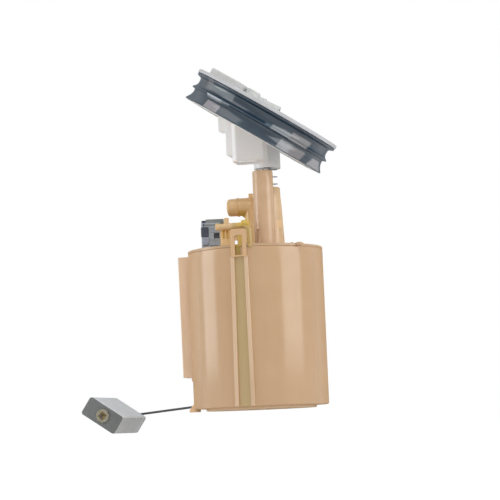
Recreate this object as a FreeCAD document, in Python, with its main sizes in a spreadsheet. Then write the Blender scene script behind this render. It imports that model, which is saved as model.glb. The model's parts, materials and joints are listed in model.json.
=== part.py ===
import FreeCAD, Part
import math
import os
import re
import Sketcher

# In-tank fuel pump module: a reservoir cup with its pump, a cover with the guide tubes,
# a tilted flange that slides on a sprung rod, and a float arm behind the cup.
# Millimetres. Z runs up the cup axis, the origin is the centre of the base plate's underside,
# +X is the way the flange slopes down, and -Y is the side with the front rail and its snap strap.

doc = FreeCAD.newDocument("FuelPumpModule")
sheet = doc.addObject("Spreadsheet::Sheet", "Sizes")
V = FreeCAD.Vector

SIZES = {
    # cup
    "cup_rim_radius": 55.7, "cup_draft": 0.7, "cup_foot_radius": "cup_rim_radius - cup_draft",
    "cup_rim": 129.3, "cup_wall": 2.0,
    "cup_floor": 2.5, "cup_foot_bevel": 1.2, "cup_inner_fillet": 1.5,
    "rail_groove_top": 7.8, "rail_groove_foot": 10.0, "rail_rib": 3.2, "rail_proud": 2.0,
    "rail_drop": 3.3, "rail_top": "cup_rim - rail_drop",
    "strap_width": 12.8, "strap_rise": 14.7, "strap_top": "cup_rim + strap_rise",
    "strap_drop": 13.3, "strap_foot": "cup_rim - strap_drop", "strap_thick": 2.1, "strap_gap": 0.3,
    "strap_corner": 1.8, "window_width": 5.6, "window_bar": 4.6,
    "window_top": "strap_top - window_bar", "window_drop": 4.8, "window_corner": 0.9,
    "window_foot": "cup_rim - window_drop",
    "side_rail_proud": 8.4, "side_rail_width": 12.0, "side_rail_foot": 29.0, "side_rail_slot": 6.4,
    "side_rail_slot_depth": 5.4,
    "side_foot_proud": 5.3, "side_foot_width": 10.0, "side_foot_height": 7.0,
    "side_foot_edge": 1.0, "rooting": 1.0,
    # base
    "base_inset": 9.6, "base_radius": "cup_foot_radius - base_inset", "base_thick": 2.0,
    "base_wall": 3.8, "screen_radius": "base_radius - base_wall", "screen_thick": 0.7,
    "screen_fit": 0.1, "window_inner": 9.0, "screen_ledge": 2.6,
    "window_outer": "screen_radius - screen_ledge", "window_spread": 9.0,
    "base_windows": 12, "base_chamfer": 0.6, "window_nose": 2.0,
    # floor valve
    "valve_inset": 17.0, "valve_place": "cup_foot_radius - valve_inset",
    "valve_dome_radius": 8.0, "valve_dome_rise": 1.6, "valve_stem_radius": 1.9,
    "valve_hole_ring": 4.6, "valve_hole_radius": 1.4, "valve_fit": 0.1, "valve_lip": 0.8,
    # cover
    "cover_thick": 2.0, "cover_fit": 0.2, "cover_skirt_wall": 1.8, "cover_skirt_depth": 8.0,
    "band_height": 3.2, "band_wall": 1.8, "band_gap_start": -33.0, "band_gap_end": 40.0,
    "snap_hook_width": 4.8, "snap_hook_drop": 1.6, "hook_clearance": 0.4,
    "port_inner": 30.0, "port_outer": 44.0, "port_half_angle": 20.0, "cover_gap": 0.05,
    "holder_wall": 1.7, "holder_depth": 36.0, "hook_slope": 0.8,
    # guide tube, sleeve, rod and spring
    "tube_x": 5.6, "tube_y": 34.4, "tube_rise": 57.7, "tube_top": "cup_rim + tube_rise",
    "tube_top_radius": 9.9, "tube_foot_radius": 10.9, "tube_bore": 9.1, "tube_top_round": 0.5,
    "tube_drop": 31.3, "tube_foot": "cup_rim - tube_drop",
    "tube_collar_radius": 13.4, "tube_collar_thick": 1.6, "tube_fit": 0.1,
    "rod_radius": 3.0, "rod_fit": 0.08, "rod_inset": 3.6, "rod_top": "flange_z - rod_inset",
    "rod_end": 0.5, "rod_nose": 0.8, "retainer_radius": 5.2, "retainer_thick": 2.0, "retainer_gap": 0.1,
    "retainer_soft": 0.3, "rod_tail": 4.0,
    "sleeve_wall": 1.0, "sleeve_fit": 0.4, "sleeve_drop": 46.1, "sleeve_foot": "flange_z - sleeve_drop",
    "seat_drop": 11.6, "spring_seat_top": "flange_z - seat_drop",
    "spring_radius": 8.0, "spring_wire": 0.6, "spring_pitch": 6.1, "spring_fit": 0.15,
    "spring_turn": 180.0,
    # pump
    "pump_radius": 19.0, "can_wall": 0.8, "can_foot": 20.0, "can_drop": 27.3,
    "can_top": "cup_rim - can_drop", "pump_fit": 0.1, "can_lip": 1.0, "can_corner": 0.5,
    "impeller_radius": 15.2, "impeller_thick": 3.2, "impeller_foot": 27.0, "impeller_gap": 0.2,
    "vane_count": 30, "vane_depth": 2.2, "vane_width": 1.5,
    "shaft_radius": 2.0, "shaft_fit": 0.04, "shaft_drop": 5.0, "shaft_top": "can_top - shaft_drop",
    "shaft_foot": 23.0, "shaft_end": 0.4,
    "chamber_plate": 4.0, "delivery_place": 11.0, "delivery_radius": 2.0,
    "inlet_place": 10.0, "inlet_radius": 5.5, "inlet_bore": 3.6, "inlet_foot": 12.6, "inlet_skirt": 3.0,
    "armature_radius": 11.6, "armature_foot": 42.0, "armature_drop": 28.0,
    "armature_top": "can_top - armature_drop", "slot_count": 8,
    "slot_width": 1.6, "slot_depth": 3.2,
    "magnet_gap": 0.5, "magnet_overhang": 2.0, "magnet_foot": "armature_foot - magnet_overhang",
    "magnet_top": "armature_top + magnet_overhang", "magnet_half_angle": 68.0,
    "commutator_radius": 7.4, "commutator_hub": 2.0, "commutator_drop": 24.0,
    "commutator_foot": "can_top - commutator_drop", "commutator_length": 6.0,
    "commutator_top": "commutator_foot + commutator_length",
    "brush_place": 5.0, "brush_radius": 1.9, "brush_length": 8.0, "brush_gap": 0.1,
    "brush_fit": 0.05, "end_cap_drop": 16.0, "end_cap_foot": "can_top - end_cap_drop",
    "end_cap_step": 1.4, "neck_rise": 2.0, "neck_cone": 3.0, "relief_place": 10.0, "relief_radius": 1.8,
    "outlet_radius": 4.6, "outlet_bore": 3.3, "outlet_length": 12.0,
    "outlet_top": "can_top + outlet_length",
    "throat_bore": 1.9, "throat_rise": 2.0, "throat_height": "can_top + throat_rise",
    "throat_cone": 1.4, "poppet_radius": 2.7, "poppet_height": 5.0, "poppet_stem": 0.45,
    "isolator_fit": 0.05, "isolator_radius": 22.8, "isolator_height": 9.0, "isolator_drop": 8.0,
    "isolator_foot": "can_top - isolator_drop",
    "strainer_inset": 6.5, "strainer_radius": "cup_foot_radius / 2 - strainer_inset",
    "strainer_height": 6.4, "strainer_foot": 5.4,
    # outlet elbow
    "elbow_radius": 7.0, "elbow_bore": 4.9, "elbow_lap": 4.0, "elbow_foot": "outlet_top - elbow_lap",
    "spigot_rise": 38.7, "spigot_height": "cup_rim + spigot_rise",
    "spigot_radius": 7.3, "spigot_reach": 22.6, "spigot_bore": 4.6, "bead_radius": 8.0,
    "bead_place": 12.4, "bead_width": 1.6, "spigot_tip": 1.2, "elbow_collar": 10.0,
    "collar_thick": 2.0, "collar_edge": 0.5, "elbow_boss_height": 3.4, "elbow_boss_width": 3.4,
    "gusset_size": 3.4, "gusset_thick": 3.0, "seal_ring_wire": 1.0,
    # regulator tower
    "tower_x": 14.8, "tower_y": -25.3, "tower_radius": 8.0, "tower_wall": 1.4, "tower_rise": 64.0,
    "tower_top": "cup_rim + tower_rise", "tower_round": 0.9, "tower_drop": 13.3,
    "tower_foot": "cup_rim - tower_drop", "tower_fit": 0.25, "tower_collar": 9.6,
    "tower_collar_thick": 1.0, "tower_collar_slope": 0.6, "tower_turn": -28.0, "tower_vault": 2.0,
    "notch_rise": 5.7, "notch_foot": "cup_rim + notch_rise", "notch_height": 10.0, "notch_width": 2.6,
    "seat_height": 5.0, "seat_bore": 2.2, "piston_height": 6.0, "piston_fit": 0.3,
    "piston_lift": 2.0, "regulator_spring_length": 26.0, "regulator_spring_wire": 0.7,
    "regulator_spring_radius": 4.4, "regulator_spring_pitch": 4.0, "adjuster_height": 5.0,
    # return nipple
    "return_x": 6.0, "return_inset": 10.5, "return_y": "return_inset - cup_rim_radius",
    "return_rise": 18.1, "return_height": "cup_rim + return_rise",
    "return_tail": 6.0,
    "return_radius": 2.6, "return_end": -21.0, "return_bore": 1.5, "return_rim_radius": 3.0,
    "return_rim_width": 2.3, "return_foot_radius": 3.6, "return_foot_thick": 1.8,
    "return_bend": 5.0,
    "lug_place": -12.2, "lug_size": 4.2, "lug_thick": 2.0, "lug_height": 7.0, "return_boss_radius": 2.9,
    "return_boss_length": 5.9, "return_boss_place": 2.7, "return_boss_rise": 1.6,
    # wiring receptacle and plug
    "receptacle_shift": 12.55, "receptacle_x": "receptacle_shift - cup_rim_radius / 2",
    "receptacle_inset": 19.1, "receptacle_y": "receptacle_inset - cup_rim_radius", "receptacle_width": 8.6,
    "receptacle_depth": 9.0, "receptacle_height": 15.2, "receptacle_wall": 1.3, "slat_width": 1.6,
    "slat_height": 8.0, "slat_step": 2.9, "slat_foot": 6.6, "receptacle_floor": 2.0,
    "plug_step": 13.5, "plug_x": "receptacle_x - plug_step", "plug_inset": 22.7,
    "plug_y": "plug_inset - cup_rim_radius", "plug_width": 14.9, "plug_depth": 10.0, "plug_height": 20.8,
    "plug_bar_height": 3.0, "plug_bar_shift": 2.8, "plug_turn": 13.0, "plug_window": 4.4,
    "plug_step_height": 2.2, "plug_edge": 1.2, "plug_panel_foot": 14.0, "plug_panel_top": 18.6,
    "plug_cheek_width": 5.2, "plug_cheek_foot": 2.0, "plug_cheek_top": 12.6, "plug_panel_depth": 0.8,
    "plug_window_foot": 8.0, "plug_window_depth": 2.0, "plug_cavity": 8.0, "plug_wall": 2.5,
    # flange
    "tilt": 32.9, "flange_x": 16.6, "flange_rise": 120.3, "flange_z": "cup_rim + flange_rise",
    "flange_radius": 65.5, "flange_rim": 2.9, "rim_edge": 0.5, "dish_margin": 9.3,
    "dish_radius": "flange_radius - dish_margin", "dish_depth": 4.5, "dish_plate": 3.0,
    "rim_overhang": 7.2, "skirt_radius": "flange_radius - rim_overhang",
    "skirt_wall": 1.8, "skirt_depth": 27.2, "ring_clear": 4.9, "dish_ring": "-socket_right - ring_clear",
    "dish_rib": 1.8, "dish_rib_height": 3.0,
    "dish_ribs": 11, "dish_rib_turn": 30.0,
    "block_left": -13.9, "block_right": 9.3, "block_front": -13.0, "block_back": 11.0,
    "block_drop": 43.0, "block_foot": "flange_z - block_drop", "block_corner": 5.5, "block_wall": 2.0,
    "block_front_wall": 5.0, "hollow_height": 14.0, "block_hollow_top": "block_foot + hollow_height",
    "web_drop": 31.6, "web_foot": "flange_z - web_drop", "column_overrun": 20.0,
    "step_left": -9.0, "step_right": 7.4, "step_front": -11.0, "step_back": 2.0,
    "step_drop": 1.7, "step_foot": "block_foot - step_drop",
    "side_block_left": -18.8, "side_block_drop": 38.6, "side_block_foot": "flange_z - side_block_drop",
    "side_block_front": -9.0, "side_block_back": 8.0,
    "far_block_left": -25.2, "far_block_drop": 17.6, "far_block_foot": "flange_z - far_block_drop",
    "far_block_front": -7.5, "far_block_back": 5.0,
    "column_web": 2.4, "stud_radius": 1.6, "stud_drop": 1.4, "stud_x": 5.0, "stud_y": -8.6,
    # seal
    "seal_fit": 0.05, "neck_wall": 2.2, "seal_neck": "skirt_radius + neck_wall", "bead_inset": 0.5,
    "seal_bead": "flange_radius - bead_inset", "lip_inset": 1.6,
    "seal_lip": "flange_radius - lip_inset", "seal_height": 25.8,
    # flange connector and feed pipe
    "socket_margin": 1.5, "socket_left": "socket_margin - dish_radius", "socket_length": 29.2,
    "socket_right": "socket_left + socket_length", "socket_width": 22.0, "socket_height": 6.7,
    "socket_wall": 1.8, "socket_floor": 1.2, "latch_reach": 1.6, "latch_width": 8.0, "latch_share": 0.6,
    "pin_count": 4, "pin_step": 4.4, "pin_radius": 0.8,
    "pin_height": 8.0, "pin_row": 5.0, "pin_fit": 0.02,
    "pipe_radius": 3.3, "pipe_bore": 2.0, "pipe_length": 27.1, "pipe_axis": 0.4, "pipe_rise": 4.0,
    "boss_clear": 7.9, "pipe_boss": "socket_right + boss_clear", "pipe_boss_radius": 6.2,
    "pipe_root": 3.9, "pipe_ring": 4.2,
    "pipe_ring_place": 13.1, "pipe_ring_width": 0.8, "pipe_tip": 0.8, "pipe_boss_sink": 0.5,
    # level sender
    "sender_x": -18.0, "sender_stand": 1.9, "sender_back": "cup_rim_radius + sender_stand",
    "sender_width": 30.0, "sender_foot": 24.0,
    "sender_height": 66.0, "sender_plate": 2.0, "sender_fit": 0.15, "lip_wall": 2.2,
    "lip_reach": 2.0, "seat_cell": 7.0, "seat_rib": 2.0, "pivot_height": 50.0,
    "pivot_radius": 3.4, "hub_radius": 6.0,
    "hub_gap": 0.25, "hub_thick": 3.2, "card_width": 22.0, "card_height": 14.0,
    "card_thick": 0.7, "card_drop": 30.0, "wiper_thick": 0.4, "wiper_width": 3.0,
    "arm_range": 60.0, "stop_place": 11.0, "stop_radius": 1.5, "stop_gap": 0.15,
    # float arm and float
    "arm_stand": 8.4, "arm_plane": "sender_back + arm_stand", "arm_wire": 1.0,
    "arm_knee_x": -46.0, "arm_knee_z": 8.0,
    "arm_bend": 5.0, "float_x": -134.4, "float_z": 0.4, "float_front": -8.0, "float_length": 66.0,
    "float_width": 32.6, "float_height": 15.7, "float_roll": 34.0, "float_edge": 1.6,
    "float_bore_fit": 0.15, "float_gap": 0.3, "nut_radius": 5.6, "nut_thick": 1.0,
    "wire_tail": 5.0,
    # jet pump
    "jet_inset": 25.0, "jet_x": "cup_foot_radius - jet_inset", "jet_y": 24.0, "jet_radius": 4.0,
    "jet_length": 26.0, "jet_bore": 2.0,
    "jet_height": 11.0, "jet_foot_width": 10.0, "jet_nozzle_radius": 2.6, "jet_nozzle": 8.0,
}


def fill_sheet():
    """One row for each size; a size given as words is worked out from the others."""
    rows = list(enumerate(SIZES.items(), start=1))
    for row, (word, value) in rows:
        sheet.set("A%d" % row, word)
        sheet.set("B%d" % row, "0" if isinstance(value, str) else repr(value))
        sheet.setAlias("B%d" % row, word)
    doc.recompute()
    for row, (word, value) in rows:
        if isinstance(value, str):
            sheet.set("B%d" % row, "=" + value)
    doc.recompute()


def bound(text):
    """The expression with each bare size name pointed at the sheet."""
    return re.sub(r"[a-z_]\w*(?!\w*\()", lambda found: "Sizes." + found.group(), str(text))


def size(text):
    """The present value of a size or of an expression of sizes."""
    return float(sheet.evalExpression(str(text)))


def is_plain(text):
    return re.search("[a-z]", str(text)) is None


def bind(thing, prop, text):
    """Sets a property from an expression of the sheet."""
    thing.setExpression(prop, bound(text))


def role(body, name):
    return [item for item in body.Origin.OriginFeatures if item.Role == name][0]


def new_body(label):
    body = doc.addObject("PartDesign::Body", label)
    body.Label = label
    return body


def place(thing, x="0", y="0", z="0", axis=None, turn="0"):
    """Puts a piece at a place, turned about an axis, all from the sheet."""
    direction = axis or V(0, 0, 1)
    base = V(size(x), size(y), size(z))
    thing.Placement = FreeCAD.Placement(base, FreeCAD.Rotation(direction, size(turn)))
    for prop, text in (("Base.x", x), ("Base.y", y), ("Base.z", z), ("Rotation.Angle", turn)):
        if not is_plain(text):
            bind(thing, "Placement." + prop, text)
    return thing


def outline(body, plane, loops, shift="0", name="Outline"):
    """A sketch whose corners all follow the sheet.

    A loop is a list of corners (x, y), or (x, y, mid_x, mid_y) where an arc through the
    mid point arrives at the corner, or ("circle", x, y, radius).
    """
    sketch = body.newObject("Sketcher::SketchObject", name)
    sketch.AttachmentSupport = [(role(body, plane), "")]
    sketch.MapMode = "FlatFace"
    sketch.AttachmentOffset = FreeCAD.Placement(V(0, 0, size(shift)), FreeCAD.Rotation())
    if not is_plain(shift):
        bind(sketch, "AttachmentOffset.Base.z", shift)
    shapes, rules, ties = [], [], []

    def tie(index, position, x, y):
        for kind, text in (("DistanceX", x), ("DistanceY", y)):
            ties.append((len(rules), text))
            rules.append(Sketcher.Constraint(kind, -1, 1, index, position, size(text)))

    construction = []
    for loop in loops:
        if loop[0] == "circle":
            x, y, radius = loop[1:]
            shapes.append(Part.Circle(V(size(x), size(y), 0), V(0, 0, 1), size(radius)))
            tie(len(shapes) - 1, 3, x, y)
            ties.append((len(rules), radius))
            rules.append(Sketcher.Constraint("Radius", len(shapes) - 1, size(radius)))
            continue
        first = len(shapes)
        ends = []
        for number, corner in enumerate(loop):
            start = loop[number - 1]
            head = V(size(start[0]), size(start[1]), 0)
            tail = V(size(corner[0]), size(corner[1]), 0)
            if len(corner) == 2:
                shapes.append(Part.LineSegment(head, tail))
                ends.append((1, 2))
                continue
            middle = V(size(corner[2]), size(corner[3]), 0)
            left_turn = (middle - head).cross(tail - head).z > 0
            shapes.append(Part.Arc(head, middle, tail) if left_turn else Part.Arc(tail, middle, head))
            ends.append((1, 2) if left_turn else (2, 1))
            construction.append((first + number, corner[2], corner[3]))
        count = len(loop)
        for number, corner in enumerate(loop):
            follower = (number + 1) % count
            rules.append(Sketcher.Constraint("Coincident", first + number, ends[number][1],
                                             first + follower, ends[follower][0]))
            tie(first + number, ends[number][1], corner[0], corner[1])
    for arc, x, y in construction:
        shapes.append(Part.Point(V(size(x), size(y), 0)))
        tie(len(shapes) - 1, 1, x, y)
        rules.append(Sketcher.Constraint("PointOnObject", len(shapes) - 1, 1, arc))
    sketch.addGeometry(shapes, False)
    for index, shape in enumerate(shapes):
        if isinstance(shape, Part.Point):
            sketch.setConstruction(index, True)
    sketch.addConstraint(rules)
    for index, text in ties:
        if not is_plain(text):
            bind(sketch, "Constraints[%d]" % index, text)
    sketch.Visibility = False
    return sketch


def box_loop(left, right, low, high):
    return [(left, low), (right, low), (right, high), (left, high)]


def arch_loop(half, low, high, corner):
    """A rectangle about the middle with its two upper corners rounded."""
    bow = "(%s) * (1 - cos(45))" % corner
    side, top, inner = "(%s)" % half, "(%s)" % high, "((%s) - (%s))" % (half, corner)
    shoulder = "%s - (%s)" % (top, corner)
    return [("-" + side, low), (side, low), (side, shoulder),
            (inner, top, side + " - " + bow, top + " - " + bow), ("-" + inner, top),
            ("-" + side, shoulder, "-(%s - %s)" % (side, bow), top + " - " + bow)]


def spin(body, kind, loops, name):
    """A Revolution or a Groove of an X-Z outline about the body's Z axis."""
    sketch = outline(body, "XZ_Plane", loops, name=name + "Outline")
    feature = body.newObject("PartDesign::" + kind, name)
    feature.Profile = sketch
    feature.ReferenceAxis = (sketch, ["V_Axis"])
    feature.Angle = 360
    body.Tip = feature
    return feature


def turned(label, *loops):
    body = new_body(label)
    spin(body, "Revolution", list(loops), "Turned")
    return body


def press(body, kind, plane, loops, length, shift="0", name="Press", backwards=False, both=False):
    """A Pad or a Pocket of an outline; the length follows the sheet."""
    sketch = outline(body, plane, loops, shift, name + "Outline")
    feature = body.newObject("PartDesign::" + kind, name)
    feature.Profile = sketch
    feature.Length = size(length)
    if not is_plain(length):
        bind(feature, "Length", length)
    feature.Reversed = backwards
    feature.Midplane = both
    body.Tip = feature
    return feature


def pad(body, plane, loops, length, **more):
    return press(body, "Pad", plane, loops, length, **more)


def pocket(body, plane, loops, length, **more):
    return press(body, "Pocket", plane, loops, length, **more)


def around(body, feature, count, angle="360", name="Around"):
    """Repeats a feature about the body's Z axis."""
    pattern = body.newObject("PartDesign::PolarPattern", name)
    pattern.Originals = [feature]
    pattern.Axis = (role(body, "Z_Axis"), [""])
    pattern.Angle = size(angle)
    pattern.Occurrences = int(size(count))
    if not is_plain(count):
        bind(pattern, "Occurrences", count)
    body.Tip = pattern
    return pattern


def along(body, feature, axis, step, count, name="Along"):
    """Repeats a feature in a row."""
    pattern = body.newObject("PartDesign::LinearPattern", name)
    pattern.Originals = [feature]
    pattern.Direction = (role(body, axis), [""])
    pattern.Length = size("(%s) * (%s - 1)" % (step, count))
    bind(pattern, "Length", "(%s) * (%s - 1)" % (step, count))
    pattern.Occurrences = int(size(count))
    body.Tip = pattern
    return pattern


def coil(label, radius, wire, pitch, low, high, x, y, turn="0"):
    """A round-wire spring between two heights, with the wire's centre line one radius in."""
    turns_height = size("%s - (%s) - 2 * %s" % (high, low, wire))
    path = Part.makeHelix(size(pitch), turns_height, size(radius))
    section = Part.Wire(Part.makeCircle(size(wire), V(size(radius), 0, 0), V(0, 1, 0)))
    sweep = Part.Wire(path.Edges).makePipeShell([section], True, True)
    spring = doc.addObject("Part::Feature", label)
    spring.Label = label
    spring.Shape = sweep
    place(spring, x, y, "(%s) + %s" % (low, wire), None, turn)
    return spring


# The reservoir cup with its front rail, snap strap, side rail, side foot and sender seat
def skin(x):
    """How far back the cup's outside lies at a distance to the side."""
    return "sqrt(cup_rim_radius ^ 2 - (%s) ^ 2)" % x


def reservoir_cup():
    foot = "base_thick"
    body = turned("reservoir_cup", [
        ("0", foot), ("cup_foot_radius - cup_foot_bevel", foot),
        ("cup_foot_radius", foot + " + cup_foot_bevel"), ("cup_rim_radius", "cup_rim"), ("0", "cup_rim")])
    ribs = []
    for side in ("", "-"):
        ribs.append([
            (side + "rail_groove_top / 2", "rail_top"), (side + "rail_groove_foot / 2", foot),
            (side + "(rail_groove_foot / 2 + rail_rib)", foot),
            (side + "(rail_groove_top / 2 + rail_rib)", "rail_top")])
    pad(body, "XZ_Plane", ribs, "cup_rim_radius - cup_foot_radius + cup_wall / 2 + rail_proud",
        shift="cup_foot_radius - cup_wall / 2", name="FrontRibs")
    strap = arch_loop("strap_width / 2", "strap_foot", "strap_top", "strap_corner")
    window = arch_loop("window_width / 2", "window_foot", "window_top", "window_corner")
    pad(body, "XZ_Plane", [strap, window], "strap_thick", shift="cup_rim_radius + strap_gap",
        name="SnapStrap")
    reach = "-(cup_rim_radius + side_rail_proud)"
    half, slot = "side_rail_width / 2", "side_rail_slot / 2"
    inner = "-(cup_foot_radius - cup_wall / 2)"
    deep = reach + " + side_rail_slot_depth"
    pad(body, "XY_Plane", [[
        (inner, "-" + half), (inner, half), (reach, half), (reach, slot), (deep, slot),
        (deep, "-" + slot), (reach, "-" + slot), (reach, "-" + half)]],
        "cup_rim - side_rail_foot", shift="side_rail_foot", name="SideRail")
    pad(body, "XZ_Plane", [[
        ("-(cup_foot_radius + side_foot_proud)", "0"),
        ("-(cup_foot_radius + side_foot_proud)", "side_foot_edge"),
        ("-(cup_foot_radius - cup_wall / 2)", "side_foot_height"),
        ("-(base_radius + rooting)", "base_thick + cup_floor / 2"), ("-(base_radius + rooting)", "0")]],
        "side_foot_width", both=True, name="SideFoot")
    wide = "(sender_width / 2 + sender_fit + lip_wall)"
    clear = "(sender_width / 2 + sender_fit)"
    lip = "(sender_width / 2 + sender_fit - lip_reach)"
    seat, face = "sender_back", "sender_back + sender_plate + 2 * sender_fit"
    front = "cup_foot_radius / 2"
    pad(body, "XY_Plane", [[
        ("sender_x - " + wide, front), ("sender_x + " + wide, front),
        ("sender_x + " + wide, face + " + lip_wall"), ("sender_x + " + lip, face + " + lip_wall"),
        ("sender_x + " + lip, face), ("sender_x + " + clear, face), ("sender_x + " + clear, seat),
        ("sender_x - " + clear, seat), ("sender_x - " + clear, face), ("sender_x - " + lip, face),
        ("sender_x - " + lip, face + " + lip_wall"), ("sender_x - " + wide, face + " + lip_wall")]],
        "sender_height", shift="sender_foot", name="SenderSeat")
    cells = []
    for number in (0, 1):
        start = "(sender_x - %s + seat_rib + %d * (seat_cell + seat_rib))" % (wide, number)
        finish, middle = "(%s + seat_cell)" % start, "(%s + seat_cell / 2)" % start
        cells.append([
            (start, "sender_back - lip_wall"), (start, skin(start)),
            (finish, skin(finish), middle, skin(middle)), (finish, "sender_back - lip_wall")])
    pocket(body, "XY_Plane", cells, "sender_height - lip_wall", shift="sender_foot", backwards=True,
           name="SeatCells")
    floor = "base_thick + cup_floor"
    spin(body, "Groove", [[
        ("0", floor), ("cup_foot_radius - cup_wall - cup_inner_fillet", floor),
        ("cup_foot_radius - cup_wall", floor + " + cup_inner_fillet"),
        ("cup_rim_radius - cup_wall", "cup_rim"), ("cup_rim_radius - cup_wall", "cup_rim + rooting"),
        ("0", "cup_rim + rooting")]], "Hollow")
    ports = [("circle", "-valve_place", "0", "valve_stem_radius + valve_fit")]
    for way in range(0, 360, 60):
        ports.append(("circle", "valve_hole_ring * cos(%d) - valve_place" % way,
                      "valve_hole_ring * sin(%d)" % way, "valve_hole_radius"))
    ports.append(("circle", "jet_x", "jet_y", "jet_bore"))
    pocket(body, "XY_Plane", ports, floor + " + rooting", backwards=True, name="FloorPorts")
    return body


def base_plate():
    lip = "base_thick - screen_thick - screen_fit"
    seat = "screen_radius + screen_fit"
    body = turned("base_plate", [
        ("0", "0"), ("base_radius - base_chamfer", "0"), ("base_radius", "base_chamfer"),
        ("base_radius", "base_thick"),
        (seat, "base_thick"), (seat, lip), ("0", lip)])
    near, far = "window_inner", "window_outer"
    window = pocket(body, "XY_Plane", [[
        (near, "-window_nose / 2"), (far, "-window_spread / 2"), (far, "window_spread / 2"),
        (near, "window_nose / 2")]],
        "base_thick", backwards=True, name="InletWindow")
    around(body, window, "base_windows")
    return body


def inlet_screen():
    body = new_body("inlet_screen")
    pad(body, "XY_Plane", [("circle", "0", "0", "screen_radius")], "screen_thick",
        shift="base_thick - screen_thick - screen_fit / 2")
    return body


def floor_valve():
    floor = "(base_thick + cup_floor + valve_fit)"
    crown = floor + " + valve_dome_rise + valve_lip / 2"
    body = turned("floor_valve", [
        ("0", "base_thick + 2 * valve_fit"), ("valve_stem_radius", "base_thick + 2 * valve_fit"),
        ("valve_stem_radius", floor), ("valve_dome_radius - valve_lip", floor),
        ("valve_dome_radius", floor + " + valve_lip"),
        ("valve_stem_radius", crown, "(valve_dome_radius + valve_stem_radius) / 2",
         crown + " - valve_lip / 2"), ("0", crown)])
    return place(body, "-valve_place")


# The cover: plate, rim band, inner skirt, two ports and the snap hook
def top_cover():
    plate, top = "cup_rim + cover_gap", "cup_rim + cover_thick"
    outer = "cup_rim_radius"
    skirt = "(cup_rim_radius - cup_wall - cover_fit)"
    foot = "cup_rim - cover_skirt_depth"
    body = turned("top_cover", [
        ("elbow_radius + cover_fit", plate), (skirt + " - cover_skirt_wall", plate),
        (skirt + " - cover_skirt_wall", foot), (skirt + " - cover_skirt_wall / 2", foot),
        (skirt, foot + " + cover_skirt_wall / 2"), (skirt, plate), (outer, plate), (outer, top),
        ("elbow_radius + cover_fit", top)])
    band = arc_band("cup_rim_radius - band_wall", outer, "band_gap_end - 360", "band_gap_start")
    pad(body, "XY_Plane", [band], "band_height - cover_thick / 2", shift="cup_rim + cover_thick / 2",
        name="RimBand")
    hook_top = "window_top - hook_clearance"
    face = "-(cup_rim_radius + strap_gap + strap_thick * hook_slope)"
    pad(body, "YZ_Plane", [[
        ("-(cup_rim_radius - band_wall)", plate), ("-(cup_rim_radius - cover_fit)", plate),
        (face, hook_top + " - snap_hook_drop"), (face, hook_top),
        ("-(cup_rim_radius - band_wall)", hook_top)]],
        "snap_hook_width", both=True, name="SnapHook")
    bores = [
        ("circle", "tower_x", "tower_y", "tower_radius + tower_fit"),
        ("circle", "return_x", "return_y", "return_radius + cover_fit"),
        ("circle", "tube_x", "tube_y", "tube_foot_radius + tube_fit")]
    pocket(body, "XY_Plane", bores, "cup_rim", shift="tower_foot", backwards=True, name="CoverBores")
    port = arc_band("port_inner", "port_outer", "-port_half_angle", "port_half_angle")
    first = pocket(body, "XY_Plane", [port], "2 * cover_thick", shift="cup_rim - cover_thick / 2",
                   backwards=True, name="Port")
    around(body, first, "2", name="Ports")
    return body


def pump_holder():
    inner = "(isolator_radius + cover_fit)"
    body = turned("pump_holder", [
        (inner, "cup_rim - holder_depth"), (inner + " + holder_wall", "cup_rim - holder_depth"),
        (inner + " + holder_wall", "cup_rim"), (inner, "cup_rim")])
    towers = [
        ("circle", "tower_x", "tower_y", "tower_radius + tower_fit"),
        ("circle", "return_x", "return_y", "return_radius + cover_fit")]
    pocket(body, "XY_Plane", towers, "cup_rim", shift="tower_foot - rooting", backwards=True,
           name="TowerNotches")
    pocket(body, "XY_Plane", [("circle", "tube_x", "tube_y", "tube_foot_radius + tube_fit")],
           "cup_rim", shift="tube_foot - rooting", backwards=True, name="TubeNotch")
    return body


def guide_tube():
    seat = "cup_rim + cover_thick"
    low = seat + " + cover_gap"
    high = low + " + tube_collar_thick"
    bore = "rod_radius + rod_fit"
    body = turned("guide_tube", [
        (bore, "tube_foot"), ("tube_foot_radius", "tube_foot"), ("tube_foot_radius", low),
        ("tube_collar_radius", low), ("tube_collar_radius", high), ("tube_foot_radius", high),
        ("tube_top_radius", "tube_top - tube_top_round"),
        ("tube_top_radius - tube_top_round", "tube_top",
         "tube_top_radius - tube_top_round * (1 - cos(45))", "tube_top - tube_top_round * (1 - cos(45))"),
        ("tube_bore", "tube_top"), ("tube_bore", seat), (bore, seat)])
    return place(body, "tube_x", "tube_y")


def arc_band(inner, outer, start, end):
    """A closed ring sector between two angles."""
    way = "((%s) * 0.5 + (%s) * 0.5)" % (start, end)

    def spot(radius, angle):
        return ("(%s) * cos(%s)" % (radius, angle), "(%s) * sin(%s)" % (radius, angle))

    return [spot(outer, start), spot(outer, end) + spot(outer, way),
            spot(inner, end), spot(inner, start) + spot(inner, way)]


def cylinder(name, radius, height, x="0", y="0", z="0", axis=None, turn="0"):
    thing = doc.addObject("Part::Cylinder", name)
    bind(thing, "Radius", radius) if not is_plain(radius) else setattr(thing, "Radius", float(radius))
    bind(thing, "Height", height) if not is_plain(height) else setattr(thing, "Height", float(height))
    return place(thing, x, y, z, axis, turn)


def block(name, left, right, front, back, low, high):
    thing = doc.addObject("Part::Box", name)
    bind(thing, "Length", "(%s) - (%s)" % (right, left))
    bind(thing, "Width", "(%s) - (%s)" % (back, front))
    bind(thing, "Height", "(%s) - (%s)" % (high, low))
    return place(thing, left, front, low)


def fuse(name, *pieces):
    joined = doc.addObject("Part::MultiFuse", name)
    joined.Shapes = list(pieces)
    return joined


def cut(name, base, tool):
    result = doc.addObject("Part::Cut", name)
    result.Base = base
    result.Tool = tool
    return result


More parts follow.
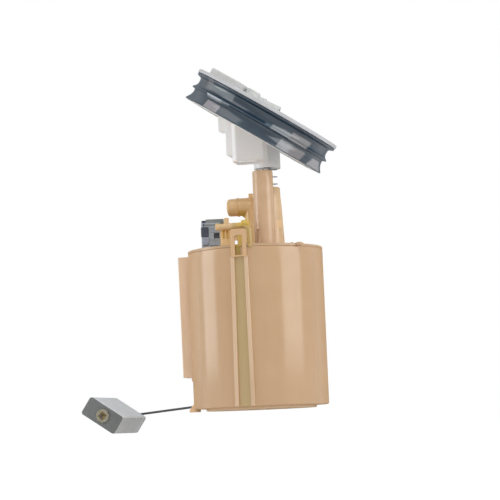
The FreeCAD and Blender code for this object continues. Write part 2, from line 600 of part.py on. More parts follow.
# The pump: a steel can with its inlet cover, impeller, motor and outlet cap
def pump_case():
    inner = "pump_radius - can_wall"
    rolled = "pump_radius - can_wall - can_lip"
    return turned("pump_case", [
        (inner, "can_foot"), ("pump_radius - can_corner", "can_foot"),
        ("pump_radius", "can_foot + can_corner"), ("pump_radius", "can_top - can_corner"),
        ("pump_radius - can_corner", "can_top"), (rolled, "can_top"),
        (rolled, "can_top - can_wall"), (inner, "can_top - can_wall")])


def pump_inlet_cover():
    body_radius = "(pump_radius - can_wall - pump_fit)"
    recess = "impeller_radius + impeller_gap"
    low = "can_foot - inlet_skirt"
    body = turned("pump_inlet_cover", [
        ("shaft_radius + shaft_fit", "shaft_foot - shaft_end"),
        ("shaft_radius + shaft_fit", "impeller_foot - impeller_gap"),
        (recess, "impeller_foot - impeller_gap"), (recess, "impeller_foot + impeller_thick + impeller_gap"),
        (body_radius, "impeller_foot + impeller_thick + impeller_gap"),
        (body_radius, "can_foot - inlet_skirt / 3"), (body_radius + " - inlet_skirt / 2", low),
        ("0", low), ("0", "shaft_foot - shaft_end")])
    pad(body, "XY_Plane", [("circle", "inlet_place", "0", "inlet_radius")],
        low + " + inlet_skirt / 3 - inlet_foot", shift="inlet_foot", name="InletStub")
    pocket(body, "XY_Plane", [("circle", "inlet_place", "0", "inlet_bore")],
           "impeller_foot - inlet_foot + rooting", shift="inlet_foot - rooting", backwards=True,
           name="InletBore")
    return body


def impeller():
    body = turned("impeller", [
        ("shaft_radius", "impeller_foot"), ("impeller_radius", "impeller_foot"),
        ("impeller_radius", "impeller_foot + impeller_thick"),
        ("shaft_radius", "impeller_foot + impeller_thick")])
    vane = pocket(body, "XY_Plane", [box_loop(
        "impeller_radius - vane_depth", "impeller_radius + rooting", "-vane_width / 2",
        "vane_width / 2")],
        "impeller_thick + 2 * rooting", shift="impeller_foot - rooting", backwards=True, name="VaneGap")
    around(body, vane, "vane_count")
    return body


def pump_chamber_plate():
    low = "impeller_foot + impeller_thick + impeller_gap + cover_gap"
    body = turned("pump_chamber_plate", [
        ("shaft_radius + shaft_fit", low), ("pump_radius - can_wall - pump_fit", low),
        ("pump_radius - can_wall - pump_fit", low + " + chamber_plate"),
        ("shaft_radius + shaft_fit", low + " + chamber_plate")])
    pocket(body, "XY_Plane", [("circle", "-delivery_place", "0", "delivery_radius")],
           "chamber_plate + 2 * rooting", shift=low + " - rooting", backwards=True, name="DeliveryPort")
    return body


def pump_shaft():
    return turned("pump_shaft", [
        ("0", "shaft_foot"), ("shaft_radius - shaft_end", "shaft_foot"),
        ("shaft_radius", "shaft_foot + shaft_end"), ("shaft_radius", "shaft_top - shaft_end"),
        ("shaft_radius - shaft_end", "shaft_top"), ("0", "shaft_top")])


def armature():
    body = turned("armature", [
        ("shaft_radius", "armature_foot"), ("armature_radius", "armature_foot"),
        ("armature_radius", "armature_top"), ("shaft_radius", "armature_top")])
    slot = pocket(body, "XY_Plane", [box_loop(
        "armature_radius - slot_depth", "armature_radius + rooting", "-slot_width / 2",
        "slot_width / 2")],
        "armature_top - armature_foot + 2 * rooting", shift="armature_foot - rooting", backwards=True,
        name="CoilSlot")
    around(body, slot, "slot_count")
    return body


def commutator():
    body = turned("commutator", [
        ("shaft_radius", "commutator_foot"), ("shaft_radius + commutator_hub", "commutator_foot"),
        ("commutator_radius", "commutator_foot + commutator_hub"), ("commutator_radius", "commutator_top"),
        ("shaft_radius", "commutator_top")])
    return body


def motor_magnets():
    body = new_body("motor_magnets")
    inner = "armature_radius + magnet_gap"
    outer = "pump_radius - can_wall - pump_fit"
    half = "magnet_half_angle"
    pad(body, "XY_Plane", [arc_band(inner, outer, "-" + half, half)], "magnet_top - magnet_foot",
        shift="magnet_foot", name="MagnetRight")
    other = new_body("magnet_left_body")
    pad(other, "XY_Plane", [arc_band(inner, outer, "180 - " + half, "180 + " + half)],
        "magnet_top - magnet_foot", shift="magnet_foot", name="MagnetLeft")
    pair = doc.addObject("Part::Compound", "magnet_pair")
    pair.Links = [body, other]
    body.Label = "magnet_right_body"
    pair.Label = "motor_magnets"
    return pair


def pump_end_cap():
    outer = "(pump_radius - can_wall - pump_fit)"
    shoulder = "can_top - can_wall - pump_fit"
    neck = "can_top + neck_rise"
    body = turned("pump_end_cap", [
        ("shaft_radius + shaft_fit", "end_cap_foot"), (outer, "end_cap_foot"), (outer, shoulder),
        (outer + " - end_cap_step", shoulder), (outer + " - end_cap_step", "can_top + neck_rise / 2"),
        ("outlet_radius + neck_cone", neck), ("outlet_radius", neck + " + neck_rise"),
        ("outlet_radius", "outlet_top - spigot_tip"), ("outlet_radius - spigot_tip / 2", "outlet_top"),
        ("outlet_bore", "outlet_top"), ("outlet_bore", "throat_height"),
        ("throat_bore", "throat_height - throat_cone"), ("throat_bore", "shaft_top + shaft_end + rooting"),
        ("shaft_radius + shaft_fit", "shaft_top + shaft_end")])
    holes = [("circle", side + "brush_place", "0", "brush_radius + brush_fit") for side in ("", "-")]
    holes.append(("circle", "0", "relief_place", "relief_radius"))
    pocket(body, "XY_Plane", holes, "brush_length + rooting", shift="end_cap_foot - rooting",
           backwards=True, name="BrushBores")
    return body


def pump_brushes():
    low = "commutator_top + brush_gap"
    pieces = [cylinder("brush_" + name, "brush_radius", "brush_length", side + "brush_place", "0", low)
              for name, side in (("right", ""), ("left", "-"))]
    pair = doc.addObject("Part::Compound", "brush_pair")
    pair.Links = pieces
    pair.Label = "pump_brushes"
    return pair


def check_poppet():
    seat = "throat_height"
    return turned("check_poppet", [
        ("0", seat + " - 0.6"), ("throat_bore - 0.3", seat + " - 0.6"), ("poppet_radius", seat + " + 0.6"),
        ("poppet_radius", seat + " + 1.6"), ("poppet_radius * poppet_stem", seat + " + 2.2"),
        ("poppet_radius * poppet_stem", seat + " + poppet_height"), ("0", seat + " + poppet_height")])


def ring(label, inner, outer, low, high, soft="0.6"):
    return turned(label, [
        (inner, low), ("(%s) - %s" % (outer, soft), low), (outer, "(%s) + %s" % (low, soft)),
        (outer, "(%s) - %s" % (high, soft)), ("(%s) - %s" % (outer, soft), high), (inner, high)])


def pump_isolator():
    return ring("pump_isolator", "pump_radius + isolator_fit", "isolator_radius",
                "isolator_foot", "isolator_foot + isolator_height", "1")


def pump_strainer():
    top = "strainer_foot + strainer_height"
    body = turned("pump_strainer", [
        ("0", "strainer_foot"), ("strainer_radius - 2", "strainer_foot"),
        ("strainer_radius", "strainer_foot + 2", "strainer_radius - 0.6", "strainer_foot + 0.6"),
        ("strainer_radius", top + " - 2"),
        ("strainer_radius - 2", top, "strainer_radius - 0.6", top + " - 0.6"), ("0", top)])
    pad(body, "XY_Plane", [("circle", "inlet_place", "0", "inlet_bore - pump_fit")],
        "inlet_foot + 4 - (%s)" % top, shift=top, name="Neck")
    return body


def jet_pump():
    body = new_body("jet_pump")
    length = "jet_length"
    pad(body, "YZ_Plane", [("circle", "0", "jet_height", "jet_radius")], length, both=True, name="Tube")
    pad(body, "YZ_Plane", [("circle", "0", "jet_height", "jet_nozzle_radius")], "jet_nozzle",
        shift="-jet_length / 2 - jet_nozzle", name="Nozzle")
    pad(body, "XY_Plane", [box_loop("-jet_foot_width / 2", "jet_foot_width / 2",
                                    "-jet_radius", "jet_radius")],
        "jet_height - base_thick - cup_floor - cover_gap",
        shift="base_thick + cup_floor + cover_gap", name="Foot")
    pocket(body, "YZ_Plane", [("circle", "0", "jet_height", "jet_bore")], "jet_length + 2 * jet_nozzle",
           both=True, name="Bore")
    pocket(body, "XY_Plane", [("circle", "0", "0", "jet_bore")], "jet_height - base_thick",
           shift="base_thick", backwards=True, name="Port")
    return place(body, "jet_x", "jet_y")


# The outlet elbow on the cover: riser, collar, spigot, bead, gusset and boss
def outlet_elbow():
    collar_low = "cup_rim + cover_thick + cover_gap"
    collar_top = collar_low + " + collar_thick"
    body = turned("outlet_elbow", [
        ("0", "elbow_foot"), ("elbow_radius", "elbow_foot"), ("elbow_radius", collar_low),
        ("elbow_collar", collar_low), ("elbow_collar", collar_top + " - collar_edge"),
        ("elbow_collar - collar_edge", collar_top), ("elbow_radius", collar_top),
        ("elbow_radius", "spigot_height"),
        ("0", "spigot_height + elbow_radius", "elbow_radius * cos(45)",
         "spigot_height + elbow_radius * sin(45)")])
    spigot = turned("spigot_body", [
        ("0", "0"), ("spigot_radius", "0"), ("spigot_radius", "bead_place - bead_width"),
        ("bead_radius", "bead_place - bead_width / 2"), ("bead_radius", "bead_place + bead_width / 2"),
        ("spigot_radius", "bead_place + bead_width"), ("spigot_radius", "spigot_reach - spigot_tip"),
        ("spigot_radius - spigot_tip", "spigot_reach"), ("0", "spigot_reach")])
    place(spigot, "0", "0", "spigot_height", V(0, 1, 0), "-90")
    pad(body, "XZ_Plane", [[
        ("-(elbow_radius - rooting)", "spigot_height - spigot_radius - gusset_size"),
        ("-(elbow_radius - rooting)", "spigot_height - rooting"),
        ("-(elbow_radius + gusset_size)", "spigot_height - rooting"),
        ("-(elbow_radius + gusset_size)", "spigot_height - spigot_radius + rooting / 2")]],
        "gusset_thick", both=True, name="Gusset")
    boss = block("elbow_boss", "-elbow_boss_width", "0", "-elbow_boss_width / 2", "elbow_boss_width / 2",
                 "spigot_height", "spigot_height + spigot_radius + elbow_boss_height")
    solid = fuse("elbow_solid", body, spigot, boss)
    down = cylinder("elbow_down_bore", "elbow_bore", "spigot_height - elbow_foot + rooting", "0", "0",
                    "elbow_foot - rooting")
    side = cylinder("elbow_side_bore", "spigot_bore", "spigot_reach + rooting", "0", "0",
                    "spigot_height", V(0, 1, 0), "-90")
    knee = doc.addObject("Part::Sphere", "elbow_knee")
    bind(knee, "Radius", "elbow_bore")
    place(knee, "0", "0", "spigot_height")
    result = cut("elbow_cut", solid, fuse("elbow_bores", down, side, knee))
    body.Label = "elbow_body"
    result.Label = "outlet_elbow"
    return result


def outlet_seal():
    seal = doc.addObject("Part::Torus", "outlet_seal")
    seal.Label = "outlet_seal"
    bind(seal, "Radius1", "outlet_radius + seal_ring_wire + seal_fit")
    bind(seal, "Radius2", "seal_ring_wire")
    return place(seal, "0", "0", "elbow_foot - seal_ring_wire - 2 * seal_fit")


# The pressure regulator in its own closed tower
def regulator_tower():
    r = "tower_radius"
    inner = "(tower_radius - tower_wall)"
    low = "cup_rim + cover_thick + cover_gap"
    body = turned("regulator_tower", [
        (inner, "tower_foot"), (r, "tower_foot"), (r, low), ("tower_collar", low),
        ("tower_collar", low + " + tower_collar_thick"),
        (r, low + " + tower_collar_thick + tower_collar_slope"), (r, "tower_top - tower_round"),
        (r + " - tower_round", "tower_top", r + " - tower_round * (1 - cos(45))",
         "tower_top - tower_round * (1 - cos(45))"),
        ("0", "tower_top"), ("0", "tower_top - tower_wall"),
        (inner + " - tower_vault", "tower_top - tower_wall"),
        (inner, "tower_top - tower_wall - tower_vault")])
    pocket(body, "XZ_Plane", [box_loop("-notch_width / 2", "notch_width / 2", "notch_foot",
                                       "notch_foot + notch_height")],
           "tower_radius + rooting", backwards=True, name="OverflowNotch")
    return place(body, "tower_x", "tower_y", "0", V(0, 0, 1), "tower_turn")


def regulator_parts():
    bore = "(tower_radius - tower_wall)"
    low = "tower_foot + 1"
    seat = place(turned("regulator_seat", [
        ("seat_bore", low), (bore + " - 0.05", low), (bore + " - 0.05", low + " + seat_height"),
        ("seat_bore + 1.2", low + " + seat_height"), ("seat_bore", low + " + seat_height - 1")]),
        "tower_x", "tower_y")
    foot = "tower_foot + 1 + seat_height"
    piston = place(turned("regulator_piston", [
        ("0", foot + " - 0.6"), ("seat_bore - 0.3", foot + " - 0.6"), ("seat_bore + 0.6", foot + " + 0.5"),
        (bore + " - piston_fit", foot + " + 0.8"), (bore + " - piston_fit", foot + " + 3"),
        ("regulator_spring_radius - 1", foot + " + 3"),
        ("regulator_spring_radius - 1", foot + " + piston_height"), ("0", foot + " + piston_height")]),
        "tower_x", "tower_y")
    spring = coil("regulator_spring", "regulator_spring_radius", "regulator_spring_wire",
                  "regulator_spring_pitch", foot + " + 3.1", foot + " + 3.1 + regulator_spring_length",
                  "tower_x", "tower_y")
    cap_foot = foot + " + 3.2 + regulator_spring_length"
    adjuster = place(turned("regulator_adjuster", [
        ("0", cap_foot), (bore + " - 0.05", cap_foot), (bore + " - 0.05", cap_foot + " + adjuster_height"),
        ("0", cap_foot + " + adjuster_height")]), "tower_x", "tower_y")
    return [seat, piston, spring, adjuster]


# The return nipple: a pipe that bends from the cover to a level run, with rim, lug and boss
def return_nipple():
    low = "cup_rim + cover_thick + cover_gap"
    x, y, high = size("return_x"), size("return_y"), size("return_height")
    foot_z, end_x = size(low + " - return_tail"), size("return_end")
    route = [V(x, y, foot_z), V(x, y, high), V(end_x, y, high)]
    pipe = bent_wire("return_pipe", route, size("return_bend"), size("return_radius"))
    bore = bent_wire("return_bore", route, size("return_bend"), size("return_bore"))
    foot = cylinder("return_foot", "return_foot_radius", "return_foot_thick", "return_x", "return_y", low)
    rim = cylinder("return_rim", "return_rim_radius", "return_rim_width", "return_end", "return_y",
                   "return_height", V(0, 1, 0), "90")
    lug = block("return_lug", "lug_place - lug_size / 2", "lug_place + lug_size / 2",
                "return_y - lug_thick / 2", "return_y + lug_thick / 2", "return_height",
                "return_height + lug_height")
    boss = cylinder("return_boss", "return_boss_radius", "return_boss_length",
                    "return_x - return_boss_place - return_boss_length / 2", "return_y",
                    "return_height + return_boss_rise", V(0, 1, 0), "90")
    solid = fuse("return_solid", pipe, foot, rim, lug, boss)
    result = cut("return_cut", solid, bore)
    result.Label = "return_nipple"
    return result


# The slatted wiring receptacle and the plug that stands beside it
def wiring_receptacle():
    low = "cup_rim + cover_thick + cover_gap"
    body = new_body("wiring_receptacle")
    half_w, half_d = "receptacle_width / 2", "receptacle_depth / 2"
    pad(body, "XY_Plane", [
        box_loop("-" + half_w, half_w, "-" + half_d, half_d),
        box_loop("-" + half_w + " + receptacle_wall", half_w + " - receptacle_wall",
                 "-" + half_d + " + receptacle_wall", half_d + " - receptacle_wall")],
        "receptacle_height", shift=low, name="Shroud")
    pad(body, "XY_Plane", [box_loop("-" + half_w, half_w, "-" + half_d, half_d)], "receptacle_floor",
        shift=low, name="Floor")
    slat = pocket(body, "XZ_Plane", [box_loop(
        "-slat_step * 0.5 - slat_width / 2", "-slat_step * 0.5 + slat_width / 2",
        low + " + slat_foot", low + " + slat_foot + slat_height")],
        "receptacle_depth + 2 * rooting", both=True, name="Slat")
    along(body, slat, "X_Axis", "slat_step", 2)
    return place(body, "receptacle_x", "receptacle_y", "0", V(0, 0, 1), "plug_turn")


def wiring_plug():
    low = "cup_rim + cover_thick + cover_gap"
    body = new_body("wiring_plug")
    half_w, half_d = "plug_width / 2", "plug_depth / 2"
    top = low + " + plug_height"
    pad(body, "XY_Plane", [box_loop("-" + half_w, half_w, "-" + half_d, half_d)],
        "plug_height", shift=low, name="Shell")
    step = "-" + half_w + " + plug_bar_shift + rooting"
    pad(body, "XY_Plane", [box_loop(step, half_w + " + plug_bar_shift", "-" + half_d, half_d)],
        "plug_bar_height", shift=top, name="TopBar")
    pad(body, "XY_Plane", [box_loop("-" + half_w, step, "-" + half_d + " + plug_edge", half_d)],
        "plug_step_height", shift=top, name="TopStep")
    front = "plug_depth / 2 + rooting"
    sill = low + " + plug_window_foot"
    pocket(body, "XZ_Plane", [
        box_loop(half_w + " - plug_window - plug_edge", half_w + " - plug_edge", sill,
                 sill + " + plug_window")],
        "plug_window_depth + rooting", shift=front, name="Window")
    left = "-" + half_w + " + plug_edge"
    pocket(body, "XZ_Plane", [
        box_loop(left, half_w + " - plug_edge", low + " + plug_panel_foot", low + " + plug_panel_top"),
        box_loop(left, left + " + plug_cheek_width", low + " + plug_cheek_foot",
                 low + " + plug_cheek_top")],
        "plug_panel_depth + rooting", shift=front, name="Panels")
    pocket(body, "XY_Plane", [box_loop("-" + half_w + " + plug_wall", half_w + " - plug_wall",
                                       "-" + half_d + " + plug_wall", half_d + " - plug_wall")],
           "plug_cavity", shift=low, backwards=True, name="Cavity")
    return place(body, "plug_x", "plug_y", "0", V(0, 0, 1), "plug_turn")


# The flange: a dished plate with a skirt, and upright blocks and a sleeve under it
def tilted(thing):
    """Puts a piece into the flange's own frame, with its Z along the flange's axis."""
    return place(thing, "flange_x", "0", "flange_z", V(0, 1, 0), "tilt")


def spoke_loop(inner, outer, half, angle):
    """A straight spoke between two radii, turned to an angle."""
    corners = ((inner, "-(%s)" % half), (outer, "-(%s)" % half), (outer, half), (inner, half))
    return [("(%s) * cos(%s) - (%s) * sin(%s)" % (out, angle, side, angle),
             "(%s) * sin(%s) + (%s) * cos(%s)" % (out, angle, side, angle)) for out, side in corners]


def flange_plate():
    under = "-(dish_depth + dish_plate)"
    crest = "-dish_depth + dish_rib_height"
    disc = turned("flange_disc", [
        ("0", "-dish_depth"), ("dish_ring", "-dish_depth"), ("dish_ring", crest),
        ("dish_ring + dish_rib", crest), ("dish_ring + dish_rib", "-dish_depth"),
        ("dish_radius", "-dish_depth"), ("dish_radius + dish_depth", "0"),
        ("flange_radius - rim_edge", "0"), ("flange_radius", "-rim_edge"),
        ("flange_radius", "-flange_rim + rim_edge"), ("flange_radius - rim_edge", "-flange_rim"),
        ("skirt_radius", "-flange_rim"), ("skirt_radius", "-skirt_depth + rim_edge"),
        ("skirt_radius - rim_edge", "-skirt_depth"), ("skirt_radius - skirt_wall", "-skirt_depth"),
        ("skirt_radius - skirt_wall", under), ("0", under)])
    spoke = pad(disc, "XY_Plane", [spoke_loop(
        "dish_ring + dish_rib / 2", "dish_radius + dish_rib", "dish_rib / 2",
        "-dish_rib_turn * (dish_ribs - 1) / 2")], "dish_rib_height", shift="-dish_depth", name="DishRib")
    around(disc, spoke, "dish_ribs", "dish_rib_turn * (dish_ribs - 1)", name="DishRibs")
    pad(disc, "XY_Plane", [("circle", "pipe_boss", "0", "pipe_boss_radius")],
        "dish_depth + pipe_boss_sink + socket_height", shift="-dish_depth - pipe_boss_sink",
        name="PipeBoss")
    ring = "pipe_ring_place"
    pipe = turned("feed_pipe", [
        ("0", "0"), ("pipe_root", "0"), ("pipe_root", ring + " - 2 * pipe_ring_width"),
        ("pipe_ring", ring + " - pipe_ring_width"), ("pipe_ring", ring),
        ("pipe_radius", ring + " + pipe_ring_width"), ("pipe_radius", "pipe_length - pipe_tip"),
        ("pipe_radius - pipe_tip", "pipe_length"), ("0", "pipe_length")])
    place(pipe, "pipe_boss", "0", "pipe_axis", V(0, 1, 0), "90 - pipe_rise")
    bore = cylinder("feed_bore", "pipe_bore", "pipe_length + rooting", "pipe_boss", "0", "pipe_axis",
                    V(0, 1, 0), "90 - pipe_rise")
    result = cut("flange_cut", fuse("flange_raw", disc, pipe), bore)
    result.Label = "flange_plate"
    return tilted(result)


def flange_columns():
    middle = block("column_block", "block_left", "block_right", "block_front", "block_back",
                   "block_foot", "flange_z")
    corner = block("column_corner", "block_left - rooting", "block_left + block_corner",
                   "block_front - rooting", "block_front + block_corner", "block_foot - rooting",
                   "flange_z + rooting")
    rounded = cylinder("column_round", "block_corner", "flange_z - block_foot",
                       "block_left + block_corner", "block_front + block_corner", "block_foot")
    step = block("column_step", "step_left", "step_right", "step_front", "step_back", "step_foot",
                 "block_foot + rooting")
    side = block("column_side", "side_block_left", "block_left + rooting", "side_block_front",
                 "side_block_back", "side_block_foot", "flange_z")
    far = block("column_far", "far_block_left", "side_block_left + rooting", "far_block_front",
                "far_block_back", "far_block_foot", "flange_z + column_overrun")
    stud = cylinder("column_stud", "stud_radius", "stud_drop + rooting", "stud_x", "stud_y",
                    "step_foot - stud_drop")
    bore = "(tube_top_radius + sleeve_fit)"
    sleeve = cylinder("column_sleeve", bore + " + sleeve_wall", "flange_z + column_overrun - sleeve_foot",
                      "tube_x", "tube_y", "sleeve_foot")
    web = block("column_web", "tube_x - column_web / 2", "tube_x + column_web / 2",
                "block_back - rooting",
                "tube_y - tube_top_radius - sleeve_fit - sleeve_wall / 2", "web_foot", "flange_z")
    columns = fuse("columns", cut("column_cornered", middle, corner), rounded, step, side, far, stud,
                   sleeve, web)
    depth = "(dish_depth + dish_plate + cover_gap)"
    above = cylinder("above_plate", "2 * flange_radius", "flange_radius",
                     "flange_x - %s * sin(tilt)" % depth, "0", "flange_z - %s * cos(tilt)" % depth,
                     V(0, 1, 0), "tilt")
    sleeve_bore = cylinder("sleeve_bore", bore, "spring_seat_top - sleeve_foot + rooting", "tube_x",
                           "tube_y", "sleeve_foot - rooting")
    rod_bore = cylinder("flange_rod_bore", "rod_radius + pin_fit", "flange_z - spring_seat_top",
                        "tube_x", "tube_y", "spring_seat_top - rooting")
    block_bore = block("block_hollow", "block_left + block_wall", "block_right - block_wall",
                       "block_front + block_front_wall", "block_back - block_wall",
                       "step_foot - rooting", "block_hollow_top")
    result = cut("columns_cut", columns, fuse("column_bores", above, sleeve_bore, rod_bore, block_bore))
    result.Label = "flange_columns"
    return result


def flange_seal():
    inner = "skirt_radius + seal_fit"
    top = "-(flange_rim + 0.05)"
    seal = turned("flange_seal", [
        (inner, top), ("seal_bead - 0.6", top),
        ("seal_bead - 0.6", "-5.1", "seal_bead", "-4.0"),
        ("seal_neck", "-6.4", "seal_neck + 1.6", "-5.3"),
        ("seal_neck + 0.2", "-10.2"),
        ("seal_lip - 0.3", "-14.6", "seal_neck + 1.5", "-12.8"),
        ("seal_lip - 0.9", "-15.9", "seal_lip + 0.1", "-15.6"),
        ("seal_neck + 0.4", "-16.6", "seal_neck + 1.6", "-16.0"),
        ("seal_neck + 0.3", "-17.6"),
        ("seal_lip - 0.2", "-seal_height + 1.2", "seal_neck + 1.4", "-seal_height + 4.6"),
        ("seal_lip - 1", "-seal_height", "seal_lip", "-seal_height + 0.3"),
        (inner, "-seal_height")])
    return tilted(seal)


# The flange's own plug socket, with an open shroud and four pins
def flange_connector():
    low = "-dish_depth + cover_gap"
    body = new_body("flange_connector")
    half = "socket_width / 2"
    outer = box_loop("socket_left", "socket_right", "-" + half, half)
    pad(body, "XY_Plane", [outer], "socket_height + dish_depth - cover_gap", shift=low, name="Shroud")
    pad(body, "XY_Plane", [box_loop("socket_right - rooting", "socket_right + latch_reach",
                                    "-latch_width / 2", "latch_width / 2")],
        "socket_height * latch_share", shift=low, name="Latch")
    pocket(body, "XY_Plane", [box_loop(
        "socket_left + socket_wall", "socket_right - socket_wall", "-" + half + " + socket_wall",
        half + " - socket_wall")],
        "socket_height + dish_depth - socket_floor", shift="socket_height", name="Socket")
    holes = [("circle", "socket_right - pin_row", "(%s - (pin_count - 1) / 2) * pin_step" % number,
              "pin_radius + pin_fit") for number in range(SIZES["pin_count"])]
    pocket(body, "XY_Plane", holes, "socket_floor + 2 * rooting", shift=low + " - rooting",
           backwards=True, name="PinHoles")
    return tilted(body)


def flange_pins():
    low = "-dish_depth + 2 * cover_gap"
    pins = []
    for number in range(SIZES["pin_count"]):
        pins.append(cylinder("pin_%d" % number, "pin_radius", "pin_height", "socket_right - pin_row",
                             "(%s - (pin_count - 1) / 2) * pin_step" % number, low))
    group = doc.addObject("Part::Compound", "pin_group")
    group.Links = pins
    group.Label = "flange_pins"
    return tilted(group)


# The guide rod with its retaining ring, and the spring round it
def guide_rod():
    return place(turned("guide_rod", [
        ("0", "tube_foot - retainer_thick - rod_tail"),
        ("rod_radius - rod_nose", "tube_foot - retainer_thick - rod_tail"),
        ("rod_radius", "tube_foot - retainer_thick - rod_tail + rod_nose"),
        ("rod_radius", "rod_top - rod_end"), ("rod_radius - rod_end", "rod_top"), ("0", "rod_top")]),
        "tube_x", "tube_y")


def rod_retainer():
    return place(ring("rod_retainer", "rod_radius + pin_fit", "retainer_radius",
                      "tube_foot - retainer_gap - retainer_thick", "tube_foot - retainer_gap",
                      "retainer_soft"), "tube_x", "tube_y")


def guide_spring():
    return coil("guide_spring", "spring_radius", "spring_wire", "spring_pitch",
                "cup_rim + cover_thick + spring_fit", "spring_seat_top - spring_fit", "tube_x", "tube_y",
                "spring_turn")


# The level sender: a plate in the cup's rear seat, with its card, hub and wiper
def sender_plate():
    back = "sender_back + sender_fit"
    face = back + " + sender_plate"
    body = new_body("sender_plate")
    half = "sender_width / 2"
    low = "sender_foot + 0.3"
    pad(body, "XZ_Plane", [box_loop("sender_x - " + half, "sender_x + " + half, low,
                                    "sender_foot + sender_height")],
        "sender_plate", shift="-(%s)" % face, name="Plate")
    pocket(body, "XZ_Plane", [("circle", "sender_x", "pivot_height", "pivot_radius + 0.05")],
           "sender_plate + 2", shift="-(%s) - 1" % face, backwards=True, name="PivotBore")
    across = "(sender_x - arm_knee_x)"
    down = "(pivot_height - arm_knee_z)"
    run = "sqrt(%s ^ 2 + %s ^ 2)" % (across, down)
    low_x, low_z = "(%s / %s)" % (across, run), "(%s / %s)" % (down, run)
    high_x = "(%s * cos(arm_range) + %s * sin(arm_range))" % (low_x, low_z)
    high_z = "(%s * cos(arm_range) - %s * sin(arm_range))" % (low_z, low_x)
    aside = "(arm_wire + stop_radius + stop_gap)"
    pegs = [
        ("circle", "sender_x - stop_place * %s + %s * %s" % (low_x, aside, low_z),
         "pivot_height - stop_place * %s - %s * %s" % (low_z, aside, low_x), "stop_radius"),
        ("circle", "sender_x - stop_place * %s - %s * %s" % (high_x, aside, high_z),
         "pivot_height - stop_place * %s + %s * %s" % (high_z, aside, high_x), "stop_radius")]
    pad(body, "XZ_Plane", pegs, "arm_plane + arm_wire + 0.5 - (%s) + sender_plate / 2" % face,
        shift="-(arm_plane + arm_wire + 0.5)", name="Stops")
    return body


def sender_card():
    face = "sender_back + sender_fit + sender_plate + cover_gap"
    body = new_body("sender_card")
    low = "pivot_height + hub_radius + 3"
    pad(body, "XZ_Plane", [[
        ("sender_x - card_width / 2", low), ("sender_x + card_width / 2", low),
        ("sender_x + card_width / 2", low + " + card_height - 3"),
        ("sender_x - card_width / 2", low + " + card_height - 3", "sender_x", low + " + card_height")]],
        "card_thick", shift="-(%s + card_thick)" % face, name="Card")
    return body


def sender_hub():
    face = "sender_back + sender_fit + sender_plate + hub_gap"
    body = new_body("sender_hub")
    pad(body, "XZ_Plane", [("circle", "sender_x", "pivot_height", "hub_radius")], "hub_thick",
        shift="-(%s + hub_thick)" % face, name="Hub")
    pad(body, "XZ_Plane", [("circle", "sender_x", "pivot_height", "pivot_radius - 0.03")],
        "sender_plate + hub_gap + sender_fit / 2", shift="-(%s)" % face, name="Journal")
    pocket(body, "XZ_Plane", [("circle", "sender_x", "pivot_height", "arm_wire + 0.03")],
           "hub_thick + sender_plate + 4", shift="-(%s + hub_thick + 1)" % face, backwards=True,
           name="WireBore")
    return body


def sender_wiper():
    face = "sender_back + sender_fit + sender_plate + 0.05 + card_thick + 0.3"
    body = new_body("sender_wiper")
    pad(body, "XZ_Plane", [box_loop("-wiper_width / 2", "wiper_width / 2", "hub_radius + 0.05",
                                    "hub_radius + card_height - 1")],
        "wiper_thick", shift="-(%s + wiper_thick)" % face, name="Blade")
    return place(body, "sender_x", "0", "pivot_height", V(0, 1, 0), "-arm_range / 2")


def bent_wire(label, corners, bend, radius):
    """A round wire through corners given as vectors, with an arc at each inner corner."""
    edges = []
    start = corners[0]
    for before, corner, after in zip(corners, corners[1:], corners[2:]):
        inward = (before - corner).normalize()
        onward = (after - corner).normalize()
        half = inward.getAngle(onward) / 2
        back = bend / math.tan(half)
        first = corner + inward * back
        last = corner + onward * back
        middle_way = (inward + onward).normalize()
        middle = corner + middle_way * (bend / math.sin(half) - bend)
        edges.append(Part.LineSegment(start, first).toShape())
        edges.append(Part.Arc(first, middle, last).toShape())
        start = last
    edges.append(Part.LineSegment(start, corners[-1]).toShape())
    path = Part.Wire(edges)
    section = Part.Wire(Part.makeCircle(radius, corners[0], corners[1] - corners[0]))
    wire = doc.addObject("Part::Feature", label)
    wire.Label = label
    wire.Shape = path.makePipeShell([section], True, True)
    return wire


def float_arm():
    plane = size("arm_plane")
    pivot = V(size("sender_x"), plane, size("pivot_height"))
    knee = V(size("arm_knee_x"), plane, size("arm_knee_z"))
    tip = V(size("float_x"), plane, size("float_z"))
    inner_end = V(pivot.x, size("sender_back + sender_fit + 0.4"), pivot.z)
    outer_end = V(tip.x, size("float_front - wire_tail"), tip.z)
    return bent_wire("float_arm", [inner_end, pivot, knee, tip, outer_end], size("arm_bend / 2"),
                     size("arm_wire"))


def float_body():
    body = new_body("float")
    half_w, half_h = "float_width / 2", "float_height / 2"
    pad(body, "XZ_Plane", [box_loop("-" + half_w, half_w, "-" + half_h, half_h)], "float_length",
        shift="-float_length", name="Block")
    doc.recompute()
    blank = body.Tip
    rounding = body.newObject("PartDesign::Fillet", "Edges")
    rounding.Base = (blank, ["Edge%d" % number for number in range(1, 13)])
    rounding.Radius = size("float_edge")
    bind(rounding, "Radius", "float_edge")
    body.Tip = rounding
    pocket(body, "XZ_Plane", [("circle", "0", "0", "arm_wire + float_bore_fit")], "float_length + 2",
           shift="1", name="WireBore")
    return place(body, "float_x", "float_front", "float_z", V(0, 1, 0), "float_roll")


def float_nut():
    body = turned("float_nut", [
        ("arm_wire + 0.02", "0"), ("nut_radius", "0"), ("nut_radius", "nut_thick * 0.5"),
        ("arm_wire * 2.2", "nut_thick + 0.8", "nut_radius * 0.72", "nut_thick + 0.3"),
        ("arm_wire + 0.02", "nut_thick + 2.2")])
    return place(body, "float_x", "float_front - float_gap", "float_z", V(1, 0, 0), "90")


